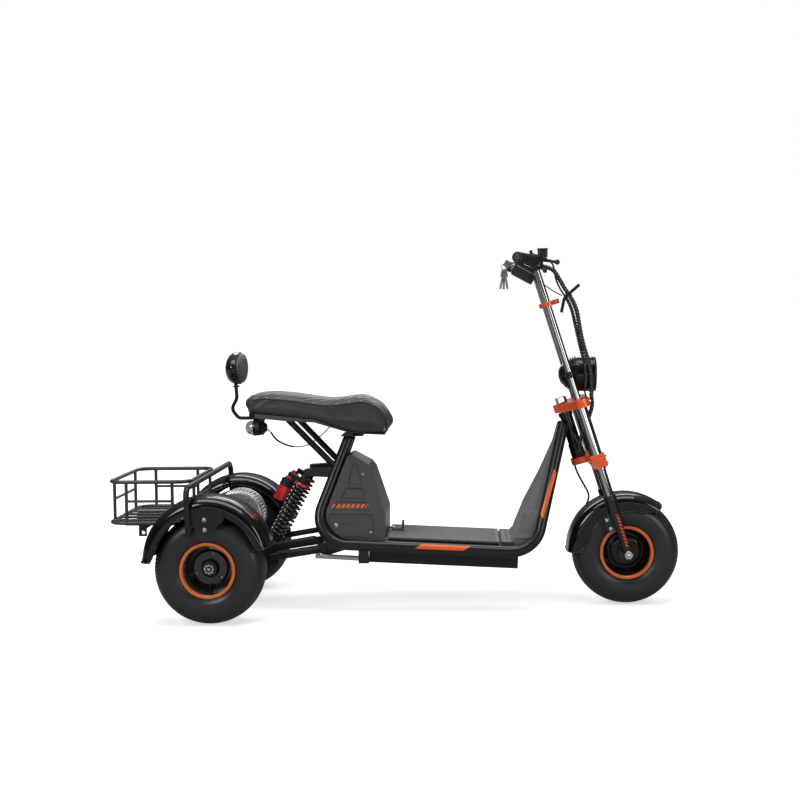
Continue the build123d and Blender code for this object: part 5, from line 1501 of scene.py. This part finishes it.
@dataclass
class Fasteners:
    """One piece of fasteners of a finish that ride on one body, each seated on the CAD node behind it or put
    at a given point.
    """

    name: str
    body: Body
    finish: Finish
    shape: Shape = field(default_factory=Shape)

    def seat(
        self, node: str, start: Point, way: Point, radius: float, head: Head = Head.SOCKET
    ) -> "Fasteners":
        """Seat a head where a line from start first meets a node, square to its face, over a washer.

        Args:
            node: The CAD node that the fastener holds.
            start: A drawing point outside the node.
            way: The direction from there into the node.
            radius: The head's radius in millimetres.
            head: The kind of head.

        Returns:
            These fasteners.
        """
        hit, at, normal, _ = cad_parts[node].ray_cast(Vector(row(start)), Vector(way).normalized())
        if not hit:
            log.warning("%s: nothing of %s is there", self.name, node)
            return self
        return self.put(tuple(drawn(at)), tuple(normal), radius, head)

    def put(self, at: Point, way: Point, radius: float, head: Head = Head.SOCKET) -> "Fasteners":
        """Put a head and its washer at a point, facing a direction."""
        profile, sides = head.value
        washer = [(-0.3, 0.0), (-0.3, 1.42 * radius), (0.7, 1.42 * radius), (0.9, 1.34 * radius), (0.9, 0.0)]
        self.shape.lathe(washer, at, way, 28)
        lifted = tuple(np.asarray(at) + np.asarray(way) * 0.9)
        self.shape.lathe([(-0.2, 0.0), *[(h * radius, r * radius) for h, r in profile]], lifted, way, sides)
        return self

    def build(self) -> Object:
        """Make the piece."""
        return place(self.shape.make(self.name, 30), self.finish, self.body)


# --------------------------------------------------------------------------------------------------- fenders
@dataclass
class Fender:
    """A rounded fender: a soft-shouldered section carried round the tyre, with a rolled bead at its edges."""

    name: str
    node: str
    centre: tuple[float, float, float]
    radius: float
    half_width: float
    start: float
    end: float
    right_skirt: tuple
    left_skirt: tuple
    body: Body
    shoulder: float = 36.0
    thickness: float = 2.6
    flare: float = 7.0

    def line(self, angles: Array, side: int, inner: float) -> Array:
        """Half of the section at each angle, from crown to skirt's edge, as (radius, distance across)."""
        skirt = self.right_skirt if side < 0 else self.left_skirt
        known = np.asarray(skirt, float)
        depth = np.interp(angles, known[:, 0], known[:, 1])
        bend = np.linspace(0, pi / 2, 14)
        flat = np.linspace(0, self.half_width - self.shoulder, 8)[:-1]
        across = np.concatenate([flat, self.half_width - self.shoulder + self.shoulder * np.sin(bend)])
        drop = np.concatenate(
            [0.0011 * flat**2, 0.0011 * flat[-1] ** 2 + self.shoulder * 0.86 * (1 - np.cos(bend))]
        )
        low = np.linspace(0, 1, 7)[1:]
        deepest = np.maximum(depth[:, None], drop[-1] + 2)
        fall = drop[-1] + (deepest - drop[-1]) * low[None]
        drops = np.concatenate([np.broadcast_to(drop, (len(angles), len(drop))), fall], 1)
        width = np.concatenate([across, self.half_width - 1.2 * low])
        narrow = inner * np.clip(width / self.half_width, 0, 1) ** 6
        kick = self.flare * np.clip((angles - self.end + 7) / 7, 0, 1)[:, None] ** 2
        radius = self.radius - drops - inner * (1 - np.clip(width / self.half_width, 0, 1) ** 6) + kick
        return np.stack([radius, np.broadcast_to(side * (width - narrow), radius.shape)], -1)

    def section(self, angles: Array) -> Array:
        """The closed section at each angle: over the outside from right to left and back along the inside."""
        outer = [self.line(angles, side, 0.0) for side in (-1, 1)]
        inner = [self.line(angles, side, self.thickness) for side in (-1, 1)]
        over = np.concatenate([outer[0][:, ::-1], outer[1][:, 1:]], 1)
        under = np.concatenate([inner[1][:, ::-1], inner[0][:, 1:]], 1)
        return np.concatenate([over, under], 1)

    def build(self) -> Object:
        """Make the shell and the beads, with the thin ends of the shell closed."""
        angles = np.linspace(self.start, self.end, 80)
        ring = self.section(angles)
        turn = np.radians(angles)[:, None]
        x, z = ring[..., 0] * np.cos(turn), ring[..., 0] * np.sin(turn)
        grid = np.stack([x, ring[..., 1], z], -1) + np.asarray(self.centre, float)
        half = grid.shape[1] // 2
        ends = [(grid[k, :half] + grid[k, : half - 1 : -1][:half]) / 2 for k in (0, -1)]
        closed = [np.concatenate([end, end[::-1]])[None] for end in ends]
        shape = Shape().sheet(np.concatenate([closed[0], grid, closed[1]]), wrap_columns=True)
        for column in (0, half - 1):
            shape.tube(grid[:, column], 2.4, 10)
        for k in (0, -1):
            shape.tube(even_steps(grid[k, :half], 60), 2.4, 10)
        made = shape.make(self.name, 42)
        return place(made, FENDER_BLACK, self.body, (self.node,))


@dataclass
class Fenders:
    """The two rear fenders and the front one, with the front one's brackets."""

    outer: tuple = ((8, 30), (20, 44), (60, 48), (150, 48), (172, 42), (183, 30))
    inner: tuple = ((8, 24), (183, 24))
    front: tuple = ((53, 24), (60, 40), (72, 56), (95, 60), (160, 60), (172, 54), (181, 38))

    def build(self) -> None:
        """Make them and the front one's brackets."""
        for side, label in ((-1, "right"), (1, "left")):
            skirts = (self.outer, self.inner) if side < 0 else (self.inner, self.outer)
            name = f"rear_fender_{label}"
            Fender(
                name + "_shell", name, (-3, side * HALF_TRACK, 206), radius=206, half_width=86, start=13,
                end=180, right_skirt=skirts[0], left_skirt=skirts[1], body=Body.CHASSIS, flare=4
            ).build()
        Fender(
            "front_fender_shell", "front_fender", FRONT_AXLE, radius=196, half_width=80, start=53, end=179,
            right_skirt=self.front, left_skirt=self.front, body=Body.STEERING, shoulder=32, flare=0
        ).build()
        self.front_brackets()

    def front_brackets(self) -> None:
        """The plates that tie the front fender to the sliders, with two screws each."""
        outline = [(-21, 86), (-21, 150), (-44, 178), (-76, 160), (-62, 138), (-40, 90)]
        shape = Shape()
        screws = Fasteners("front_fender_screws", Body.STEERING, STEEL)
        for side in (-1, 1):
            flat = on_fork([(p, side * 79, s) for p, s in outline])
            shape.prism(flat, (0, side * 4, 0))
            for x, z in ((1277, 290), (1290, 261)):
                screws.put((x, side * 93.3, z), (0, side, 0), 4.2, Head.BUTTON)
        place(shape.make("front_fender_brackets", 30), GLOSS_BLACK, Body.STEERING)
        screws.build()


# ------------------------------------------------------------------------------------------- wheels' details
class HubDetails:
    """The bright parts of the wheels: the rear star nuts and bolts, the front nuts, and the valves."""

    def build(self) -> None:
        """Make them for each wheel."""
        for side, body, label in ((-1, Body.REAR_RIGHT, "right"), (1, Body.REAR_LEFT, "left")):
            self.rear(side, body, label)
        self.front()

    def star(self, centre: Point, way: Point, radius: float) -> Shape:
        """A castellated nut round a centre stud: a toothed ring whose radius steps with the angle."""
        turn = full_turn(96)
        tooth = soft_step(9 * np.cos(8 * turn))
        rings = [(0.0, 0.5), (0.0, 1.0), (7.0, 1.0), (8.6, 0.93), (8.6, 0.62), (3.0, 0.56), (3.0, 0.0)]
        along = np.asarray(way, float)
        first = np.array([1.0, 0.0, 0.0])
        second = np.cross(along, first)
        spoke = np.cos(turn)[:, None] * first + np.sin(turn)[:, None] * second
        circles = []
        for height, size in rings:
            r = radius * size * np.where(size > 0.7, 0.8 + 0.2 * tooth, 1.0)
            circles.append(height * along + r[:, None] * spoke)
        shape = Shape().sheet(np.array(circles) + np.asarray(centre, float), wrap_columns=True)
        stud = [(2.0, 0.0), (2.0, 6.2), (9.0, 6.2), (10.2, 5.0), (10.2, 2.6), (8.0, 0.0)]
        return shape.lathe(stud, centre, way, 24)

    def rear(self, side: int, body: Body, label: str) -> None:
        """One rear hub's star nut, with three screws and the tyre's valve in the dish."""
        face = side * (HALF_TRACK + 28.5)
        nut = self.star((0, face, TYRE_RADIUS), (0, side, 0), 17)
        place(nut.make(f"star_nut_{label}", 30), CHROME, body)
        screws = Fasteners(f"hub_screws_{label}", body, ZINC)
        node = f"rear_rim_{label}"
        for angle in (80, 200, 320):
            x, z = 47 * cos(radians(angle)), TYRE_RADIUS + 47 * sin(radians(angle))
            screws.seat(node, (x, side * 420, z), (0, -side, 0), 2.6, Head.BUTTON)
        screws.build()
        valve = [(0, 0), (0, 4.2), (6, 4.0), (14, 2.6), (16, 3.2), (26, 3.2), (27, 2.6), (27, 0)]
        foot = (0, side * (HALF_TRACK + 12), TYRE_RADIUS - 77)
        stem = Shape().lathe(valve, foot, (0, side * 0.5, 0.87), 16)
        place(stem.make(f"valve_{label}", 40), CASE_PLASTIC, body)

    def front(self) -> None:
        """The front hub's domed cap on each side, and the bright nuts on the axle's ends."""
        nuts = Shape()
        x, _, z = FRONT_AXLE
        for side in (-1, 1):
            washer = [(0, 7.2), (0, 12.6), (1.6, 12.8), (2.4, 12.0), (2.4, 7.2)]
            nuts.lathe(washer, (x, side * 113.2, z), (0, side, 0), 32)
            cap = [(0, 0), (0, 4.6), (2.0, 4.4), (3.2, 2.6), (3.4, 0)]
            nuts.lathe(cap, (x, side * 126.4, z), (0, side, 0), 24)
        place(nuts.make("front_axle_trim", 30), STEEL, Body.STEERING)
        dome = Shape()
        low, high = 10.0, 25.0
        profile = [(low, 66.5), (low + 7, 66), (low + 9, 63), (low + 9.5, 56), (low + 8, 54), (low + 8.5, 52)]
        profile += [(low + 8.5 + 6.5 * sin(radians(a)), 26 + 26 * cos(radians(a))) for a in range(5, 91, 5)]
        profile += [(high - 1, 24), (high - 4, 22.5), (high - 4, 0)]
        for side in (-1, 1):
            dome.lathe(profile, (x, 0, z), (0, side, 0), 96)
        place(dome.make("front_hub_domes", 30), GLOSS_BLACK, Body.FRONT_WHEEL)


# ----------------------------------------------------------------------------------------------------- floor
@dataclass
class FloorDeck:
    """The floor's ribbed mats, the lid's latch and the screws of the tray."""

    surface: float = 28.5
    rib_pitch: float = 6.0
    rib_height: float = 0.8

    def mat(self, name: str, rear: float, front: float, half: float, body: Body) -> Object:
        """A mat whose ribs are a rounded square wave across it, inside a plain raised border."""
        edge = np.array([0, 0, 1, 2, 5, 7, 7.6, 8.4, 9, 9.9, 10.1, 12])
        rear, front = rear - FLOOR_MIDDLE[0], front - FLOOR_MIDDLE[0]
        u = np.concatenate([rear + edge, front - edge[::-1]])
        ribbed = np.linspace(-half + 2, half - 2, int(half / self.rib_pitch * 2 * 12))
        y = np.concatenate([[-half, -half], ribbed, [half, half]])
        uu, yy = np.meshgrid(u, y, indexing="ij")
        wave = soft_step(7 * np.cos(2 * pi * yy / self.rib_pitch))
        from_edge = np.minimum(np.minimum(uu - rear, front - uu), half - np.abs(yy))
        border = soft_step((8 - from_edge) / 0.4)
        height = self.rib_height * np.maximum(wave * (from_edge > 10), border)
        height = height * np.clip(from_edge / 1.5, 0, 1)
        height[[0, -1]] = height[:, [0, -1]] = -0.2
        grid = on_floor(np.stack([uu, yy, self.surface + 0.15 + height], -1))
        return place(Shape().sheet(grid).make(name, 60), MAT_RUBBER, body)

    def build(self) -> None:
        """Make the mats, the latch's hasp and the screws."""
        self.mat("lid_mat", 556, 919, 144, Body.LID)
        self.mat("front_mat", 932, 962, 132, Body.CHASSIS)
        screws = Fasteners("tray_screws", Body.CHASSIS, ZINC)
        for u, y in ((-190, 100), (-190, -100), (236, 120), (236, -120)):
            start = on_floor((u, y, 120))
            screws.seat("floor_tray", tuple(start), (0, 0, -1), 4.5, Head.BUTTON)
        screws.build()
        hasp = Shape()
        for side in (-1, 1):
            arch = [(-187, 28), (-186, 36), (-180, 40), (-168, 40), (-161, 37), (-158, 29)]
            path = on_floor([(u, side * 6, w) for u, w in arch])
            hasp.tube(smooth_line(path.tolist(), 40), 2.2, 10)
        place(hasp.make("latch_hasp", 60), CHROME, Body.LID)


# -------------------------------------------------------------------------------------------------- steering
@dataclass
class Cockpit:
    """The lower yoke, the grips, the display's trim, the controls' screws and buttons, and the headlight."""

    bar_line: tuple[Point, ...] = (
        (201, 1045.5, 1141.5), (240, 1028.6, 1142.4), (335, 987.6, 1144.5), (360, 976.8, 1145.0)
    )
    grip_start: float = 234.0
    grip_end: float = 356.0
    grip_radius: float = 16.6
    display_middle: Point = (1016.0, 0.0, 1109.1)
    display_tilt: float = radians(29)

    def bar_at(self, y: Array) -> Array:
        """The handlebar's (x, z) at distances y from the middle, along its straight ends."""
        known_y, *known = zip(*self.bar_line)
        return np.stack([np.interp(y, known_y, column) for column in known], -1)

    def grips(self) -> None:
        """Both grips: a lattice of small pads between smooth collars, and the bar's end plug."""
        shape = Shape()
        y = np.linspace(self.grip_start, self.grip_end, 180)
        line = self.bar_at(y)
        turn = full_turn(96)[None]
        run = (y - self.grip_start)[:, None]
        pads = np.abs(np.sin(run * 0.42 + 6 * turn)) * np.abs(np.sin(run * 0.42 - 6 * turn))
        patterned = ((run > 14) & (run < 108)).astype(float)
        radius = self.grip_radius - 0.9 + 1.5 * patterned * np.tanh(3 * pads)
        radius = radius + 2.2 * ridge(run, 4, 4, 4) + 2.0 * ridge(run, 118, 3.5, 4)
        slope = np.array([line[-1, 0] - line[0, 0], y[-1] - y[0], line[-1, 1] - line[0, 1]])
        slope /= np.linalg.norm(slope)
        for side in (-1, 1):
            along = slope * (1, side, 1)
            second = np.cross(along, (0, 0, 1.0))
            second /= np.linalg.norm(second)
            third = np.cross(second, along)
            middle = np.stack([line[:, 0], side * y, line[:, 1]], -1)[:, None]
            ring = np.cos(turn)[..., None] * second + np.sin(turn)[..., None] * third
            grid = middle + radius[..., None] * ring
            ends = [np.broadcast_to(middle[k], grid[:1].shape) for k in (0, -1)]
            shape.sheet(np.concatenate([ends[0], grid, ends[1]]), wrap_columns=True)
        place(shape.make("ribbed_grips", 50), GRIP_RUBBER, Body.STEERING, ("grips",))
        plugs = Shape()
        for side in (-1, 1):
            along = slope * (1, side, 1)
            end = np.array([line[-1, 0], side * y[-1], line[-1, 1]])
            plugs.lathe(
                [(-1, 0), (-1, 9), (1.5, 9), (2.5, 8), (2.5, 3.4), (0.5, 3.0), (0.5, 0)], tuple(end),
                tuple(along), 32
            )
        place(plugs.make("bar_end_plugs", 40), CASE_PLASTIC, Body.STEERING)

    def on_dash(self, points: list[Point] | Array) -> Array:
        """Turn display points (forward, y, up) into drawing points: the display leans down in front."""
        a, y, c = np.moveaxis(np.asarray(points, float), -1, 0)
        tilt, (x, _, z) = self.display_tilt, self.display_middle
        return np.stack([x + a * cos(tilt) + c * sin(tilt), y, z - a * sin(tilt) + c * cos(tilt)], -1)

    def display(self) -> None:
        """The silver band over the display, the bright lines along its sides and its dark glass."""
        across = np.linspace(-41.5, 41.5, 40)
        along = np.linspace(-38.5, 30, 24)
        a, y = np.meshgrid(along, across, indexing="ij")
        crown = 22.9 + 2.6 * np.sqrt(np.clip(1 - (np.abs(y) / 41.5) ** 4, 0, 1)) - 0.9 * ((a + 4) / 34) ** 4
        clear = (np.abs(np.abs(y) - 16) < 8) & (a > -14)
        crown = np.where(clear, 22.9, crown)
        shape = Shape().sheet(self.on_dash(np.stack([a, y, crown], -1)))
        for side in (-1, 1):
            line = self.on_dash([(x, side * 42.2, 8.5) for x in np.linspace(-36, 34, 12)])
            shape.tube(line, 1.3, 8)
        place(shape.make("display_trim", 50), SILVER, Body.STEERING)
        tilt = self.display_tilt
        glass = Shape()
        corners = [(30, 14), (33, 10), (33, -10), (30, -15), (-4, -15), (-6, 14)]
        flat = self.on_dash([(-41.4, y, z) for y, z in corners])
        glass.prism(flat, tuple(np.array([-cos(tilt), 0, sin(tilt)]) * 0.8))
        place(glass.make("display_glass", 30), FENDER_BLACK, Body.STEERING)

    def tanks(self) -> None:
        """The brake tanks' screws, the levers' pivots and the switch buttons."""
        screws = Fasteners("control_screws", Body.STEERING, STEEL)
        x, z = self.bar_at(np.array([201.0]))[0]
        for side in (-1, 1):
            for dx, dy in ((10, -24), (30, 12)):
                screws.put((x + dx, side * (201 + (6 + dy)), z + 37.1), (0, 0, 1), 2.6, Head.BUTTON)
            screws.put((x + 28, side * 199, z + 7.3), (0, 0, 1), 3.4, Head.HEX)
            for dx in (-8, 8):
                screws.seat("bar_controls", (x + dx, side * 201, z - 40), (0, 0, 1), 2.4, Head.SOCKET)
        screws.build()
        buttons = Shape()
        bx, bz = self.bar_at(np.array([219.0]))[0]
        for side in (-1, 1):
            for k, angle in enumerate((100, 135, 165)):
                way = (cos(radians(angle)), 0, sin(radians(angle)))
                at = (bx + 19.5 * way[0], side * 219, bz + 19.5 * way[2])
                size = 4.2 if k else 3.2
                buttons.lathe([(-1, 0), (-1, size), (2, size), (2.8, size - 0.8), (3, 0)], at, way, 24)
        place(buttons.make("switch_buttons", 40), RED_TAG, Body.STEERING)

    def yoke_screws(self) -> None:
        """The pinch screws of the three yokes and the stem's cap."""
        screws = Fasteners("yoke_screws", Body.STEERING, STEEL)
        ahead = on_fork((1, 0, 0)) - on_fork((0, 0, 0))
        for side in (-1, 1):
            for s in (313, 336):
                screws.put(tuple(on_fork((26, side * 113, s))), tuple(ahead), 4.2)
            screws.seat("upper_yoke", tuple(on_fork((90, side * 108, 521))), tuple(-ahead), 4.0)
            screws.seat("bar_yoke", tuple(on_fork((90, side * 62, 864))), tuple(-ahead), 3.4)
        screws.build()

    def light(self) -> None:
        """The headlight's lens in a gloss black bezel: facets in rings round a bright projector, under clear
        glass.
        """
        middle = (1246.0, 0.0, 770.0)
        rim = [(-7, 58.3), (-4, 59.6), (1, 59.2), (4.5, 56), (4.5, 52), (0.3, 51), (0.3, 50)]
        bezel = Shape().lathe(rim, middle, (1, 0, 0), 96)
        place(bezel.make("headlight_bezel", 40), GLOSS_BLACK, Body.STEERING)
        radius = np.linspace(0.0, 51.0, 90)[:, None]
        turn = full_turn(180)[None]
        facets = 0.5 * np.abs(np.sin(radius * 0.55)) + 0.4 * np.abs(np.sin(12 * turn))
        facets = facets * (radius > 17)
        dome = 4.2 * np.sqrt(np.clip(1 - (radius / 15.0) ** 2, 0, 1))
        height = 0.3 + facets + dome + 0 * turn
        grid = np.stack([middle[0] + height, radius * np.cos(turn), middle[2] + radius * np.sin(turn)], -1)
        bowl = Shape().sheet(grid, wrap_columns=True)
        place(bowl.make("headlight_reflector", 60), REFLECTOR, Body.STEERING)
        glass = [(5.6, 0), (5.4, 20), (4.8, 40), (3.6, 51.5), (2.8, 51.5), (3.9, 40), (4.7, 20), (4.9, 0)]
        lens = Shape().lathe(glass, middle, (1, 0, 0), 96)
        place(lens.make("headlight_lens", 60), CLEAR_LENS, Body.STEERING)
        fins = Shape()
        for x in (1150, 1158, 1166, 1174, 1182):
            r = 60 * np.sqrt(max(0.0, 1 - ((1198 - x) / 72) ** 2)) + 1.2
            fins.lathe(
                [(-1.6, r - 7), (-1.6, r - 1), (-0.8, r), (0.8, r), (1.6, r - 1), (1.6, r - 7)],
                (x, 0, middle[2]), (1, 0, 0), 72
            )
        place(fins.make("headlight_fins", 40), SATIN_BLACK, Body.STEERING)

    def lower_yoke(self) -> None:
        """The lower yoke: a plate round the stem, and a block that grips each leg, longer in front."""
        shape = Shape()
        left = [
            (-80, 18), (-66, 32), (-34, 44), (-25, 76), (-25, 124), (26, 124), (27, 80), (4, 60), (-12, 30)
        ]
        plate = [(-80, -18), *left] + [(p, -y) for p, y in left[:0:-1]]
        rise = on_fork((0, 0, 22)) - on_fork((0, 0, 0))
        shape.prism(on_fork([(p, y, 324) for p, y in plate]), rise)
        for side in (-1, 1):
            block = [(-22, 302), (-22, 347), (26, 347), (26, 302)]
            shape.prism(on_fork([(p, side * 74, s) for p, s in block]), (0, side * 51, 0))
        cup = [(0, 14.2), (0, 22), (3, 24), (30, 24), (33, 22), (33, 14.2)]
        ring = Shape().lathe(cup, on_fork((-50, 0, 345.5)), on_fork((0, 0, 1)) - on_fork((0, 0, 0)), 48)
        place(ring.make("lower_head_cup", 30), SATIN_BLACK, Body.STEERING)
        yoke = shape.make("lower_yoke_body", 30)
        edges = yoke.modifiers.new("edges", "BEVEL")
        edges.width, edges.segments = 0.0022, 3
        place(yoke, ORANGE_ANODISED, Body.STEERING, ("lower_yoke",))

    def build(self) -> None:
        """Make all of it."""
        self.lower_yoke()
        self.grips()
        self.display()
        self.tanks()
        self.yoke_screws()
        self.light()


# ------------------------------------------------------------------------------------------------------ body
@dataclass
class BodyShell:
    """The seams of the body cover's panels, and the liners between the frame's bends and the mouldings."""

    panels: tuple = (
        ((440, 484), (425, 420), (472, 416), (452, 484)),
        ((421, 407), (400, 374), (482, 372), (474, 405)),
        ((392, 363), (372, 336), (494, 333), (486, 361)),
        ((366, 324), (361, 300), (372, 268), (396, 249), (508, 246), (511, 305), (500, 323)),
    )

    def build(self) -> None:
        """Make the seams and the liners."""
        self.seams()
        self.liners()

    def seams(self) -> None:
        """A dark groove line round each panel, laid where lines from the side meet the cover."""
        shape = Shape()
        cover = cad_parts["body_cover"]
        for side in (-1, 1):
            for panel in self.panels:
                loop = even_steps(np.array([(x, 0, z) for x, z in (*panel, panel[0])], float), 90)
                seated = []
                for x, _, z in loop:
                    hit, at, _, _ = cover.ray_cast(Vector(row((x, side * 400, z))), Vector((0, -side, 0)))
                    if hit:
                        seated.append(drawn(at))
                if len(seated) > 60:
                    shape.tube(np.array(seated[:-1]), 0.9, 6, close=True)
        place(shape.make("cover_seams", 60), GRIP_RUBBER, Body.CHASSIS)

    def liners(self) -> None:
        """The rear liner, inside the bend behind the cover, and the front one under the leg shield."""
        rear = [
            *arc_through((341, 353), (350, 267.6), (425, 224.6), 20).tolist(), (520, 220), (520, 300),
            (400, 440), (378, 440)
        ]
        front = [
            *arc_through((955.4, 198.7), (1019.7, 218), (1057, 273.9), 20).tolist(), (1052, 330), (1010, 318),
            (984, 250), (955, 225)
        ]
        for name, outline, half, finish in (
            ("rear_liner", rear, 96, TRAY_PLASTIC),
            ("front_liner", front, 130, SHIELD_PLASTIC),
        ):
            flat = [(x, -half, z) for x, z in outline]
            piece = Shape().prism(flat, (0, 2 * half, 0)).make(name, 30)
            place(piece, finish, Body.CHASSIS)


@dataclass
class Motor:
    """The drive motor: a ribbed aluminium barrel between two end covers, with screws round each."""

    centre: Point = (42.0, 0.0, 304.0)
    radius: float = 86.0
    half_length: float = 64.0
    ribs: int = 44

    def build(self) -> None:
        """Make the barrel, whose ribs run along it, and its screws."""
        turn = full_turn(self.ribs * 12)[None]
        along = np.array(
            [0, 0.0, 3, 4, 22, 23, 26, 27, 37, 38, 90, 91, 101, 102, 105, 106, 124, 125, 128, 128]
        )
        half = [0, 0.93, 0.95, 0.99, 0.99, 0.9, 0.9, 0.97, 0.97, 1]
        level = np.array(half + half[::-1])
        ribbed = ((along > 37) & (along < 92))[:, None]
        rib = soft_step(8 * (np.cos(self.ribs * turn) + 0.1))
        radius = self.radius * level[:, None] - 6.0 * ribbed * (1 - rib)
        y = np.broadcast_to(along[:, None] - self.half_length, radius.shape)
        grid = np.stack([radius * np.cos(turn), y, radius * np.sin(turn)], -1) + np.asarray(self.centre)
        barrel = Shape().sheet(grid, wrap_columns=True).make("motor_barrel", 30)
        place(barrel, CAST, Body.CHASSIS, ("drive_motor",))
        screws = Fasteners("motor_screws", Body.CHASSIS, ZINC)
        for side in (-1, 1):
            for k in range(8):
                a = radians(45 * k + 12)
                x, z = 72 * cos(a), 72 * sin(a)
                at = (self.centre[0] + x, side * self.half_length, self.centre[2] + z)
                screws.put(at, (0, side, 0), 4.0, Head.SOCKET)
        screws.build()


# -------------------------------------------------------------------------------------------------- rear end
class RearEnd:
    """The tail lamp's lens, the shocks' clamps and collars, and the bolts of the fenders and the hoop."""

    def build(self) -> None:
        """Make all of it."""
        self.lamp()
        self.shocks()
        self.bolts()

    def lamp(self) -> None:
        """The tail lamp: a faceted dome in a pale, partly metallic finish, in a black ring."""
        middle = np.array([84.0, 0.0, 600.0])
        share = np.linspace(0, 1, 24)[:, None]
        turn = full_turn(64)[None]
        radius = 25 * np.sin(share * pi / 2)
        depth = 30 * np.cos(share * pi / 2) ** 0.8
        facet = 1.6 * np.abs(np.sin(7 * turn)) * np.sin(share * pi) + 1.2 * np.abs(np.sin(share * 16))
        x = middle[0] + 17 - depth - facet - 0.8
        grid = np.stack([x + 0 * turn, radius * np.cos(turn), middle[2] + radius * np.sin(turn)], -1)
        dome = Shape().sheet(grid, wrap_columns=True)
        place(dome.make("tail_lamp_lens", 60), TAIL_LENS, Body.CHASSIS)
        ring = Shape().lathe(
            [(14, 24), (13, 27.6), (19, 28.2), (20, 27), (20, 24)], tuple(middle), (1, 0, 0), 64
        )
        place(ring.make("tail_lamp_ring", 40), GLOSS_BLACK, Body.CHASSIS)

    def shocks(self) -> None:
        """Both springs, with thick closely wound wire, and the reservoirs beside them under black caps."""
        foot, head = np.array([162.0, 213.0]), np.array([290.0, 455.0])
        run = (head - foot) / np.linalg.norm(head - foot)
        beside = np.array([-run[1], run[0]])
        coils, red, black = Shape(), Shape(), Shape()
        way = (run[0], 0, run[1])
        for y in (-82.0, 82.0):
            share = np.linspace(0, 1, 900)
            turn = 2 * pi * (12 * share + 0.5 * np.sin(2 * pi * share) / pi)
            along = foot + np.outer(37 + 182 * share, run)
            out = 22.5 * np.cos(turn)
            path = np.stack(
                [along[:, 0] + out * beside[0], y + 22.5 * np.sin(turn), along[:, 1] + out * beside[1]], -1
            )
            coils.tube(path, 4.7, 10)
            at = foot + beside * 49
            middle = (at[0], y, at[1])
            can = [(147, 0), (147, 15), (150, 18.6), (152, 19.5), (198, 19.5), (199, 18.5), (199, 0)]
            red.lathe(can, middle, way, 48)
            cap = [
                (199, 0), (199, 20.5), (204, 21.2), (206, 19.6), (210, 19.6), (212, 21), (220, 21),
                (224, 16), (226, 0)
            ]
            black.lathe(cap, middle, way, 48)
            red.lathe([(226, 0), (226, 13), (231, 13), (233, 10), (233, 0)], middle, way, 32)
            axis = (foot[0], y, foot[1])
            red.lathe(
                [(224, 13), (224, 25.4), (226, 26.4), (230, 26.4), (232, 25.4), (232, 13)], axis, way, 40
            )
            black.lathe([(30, 12), (30, 25), (33, 27), (37, 27), (37, 12)], axis, way, 40)
        place(coils.make("coil_springs", 180), SPRING_PAINT, Body.CHASSIS, ("shock_springs",))
        place(red.make("shock_reservoir_cans", 30), RED_ANODISED, Body.CHASSIS, ("shock_reservoirs",))
        place(black.make("shock_caps", 30), SATIN_BLACK, Body.CHASSIS)

    def bolts(self) -> None:
        """The domed nuts of the hoop's feet, and the body cover's screws and lock."""
        bolts = Fasteners("fender_bolts", Body.CHASSIS, ZINC)
        for side in (-1, 1):
            for x, z in ((-1, 342), (0, 311)):
                bolts.seat("guard_hoop", (x, side * 480, z), (0, -side, 0), 5.2, Head.ACORN)
        bolts.build()
        cover = Fasteners("cover_screws", Body.CHASSIS, ZINC)
        for side in (-1, 1):
            for x, z in ((500, 262), (474, 450)):
                cover.seat("body_cover", (x, side * 300, z), (0, -side, 0), 3.0, Head.BUTTON)
            cover.seat("body_cover", (386, side * 300, 286), (0, -side, 0), 5.5, Head.BUTTON)
        cover.build()


def setup_log() -> None:
    """Report each piece on one plain line."""
    logging.basicConfig(level=logging.INFO, format="%(message)s")


def main() -> None:
    """Build the scene in order: studio and cords first, then each sub-assembly."""
    setup_log()
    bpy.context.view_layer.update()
    Studio().build()
    Cords().build()
    dress_nodes()
    for wheel in (
        Wheel("front_tyre", FRONT_AXLE, Body.FRONT_WHEEL, "front_tyre"),
        Wheel("rear_tyre_right", (0, -HALF_TRACK, TYRE_RADIUS), Body.REAR_RIGHT, "rear_tyre_right"),
        Wheel("rear_tyre_left", (0, HALF_TRACK, TYRE_RADIUS), Body.REAR_LEFT, "rear_tyre_left"),
    ):
        wheel.build()
    Saddle().build()
    Backrest().build()
    Fenders().build()
    HubDetails().build()
    FloorDeck().build()
    Cockpit().build()
    BodyShell().build()
    Motor().build()
    RearEnd().build()


if __name__ == "__main__":
    main()
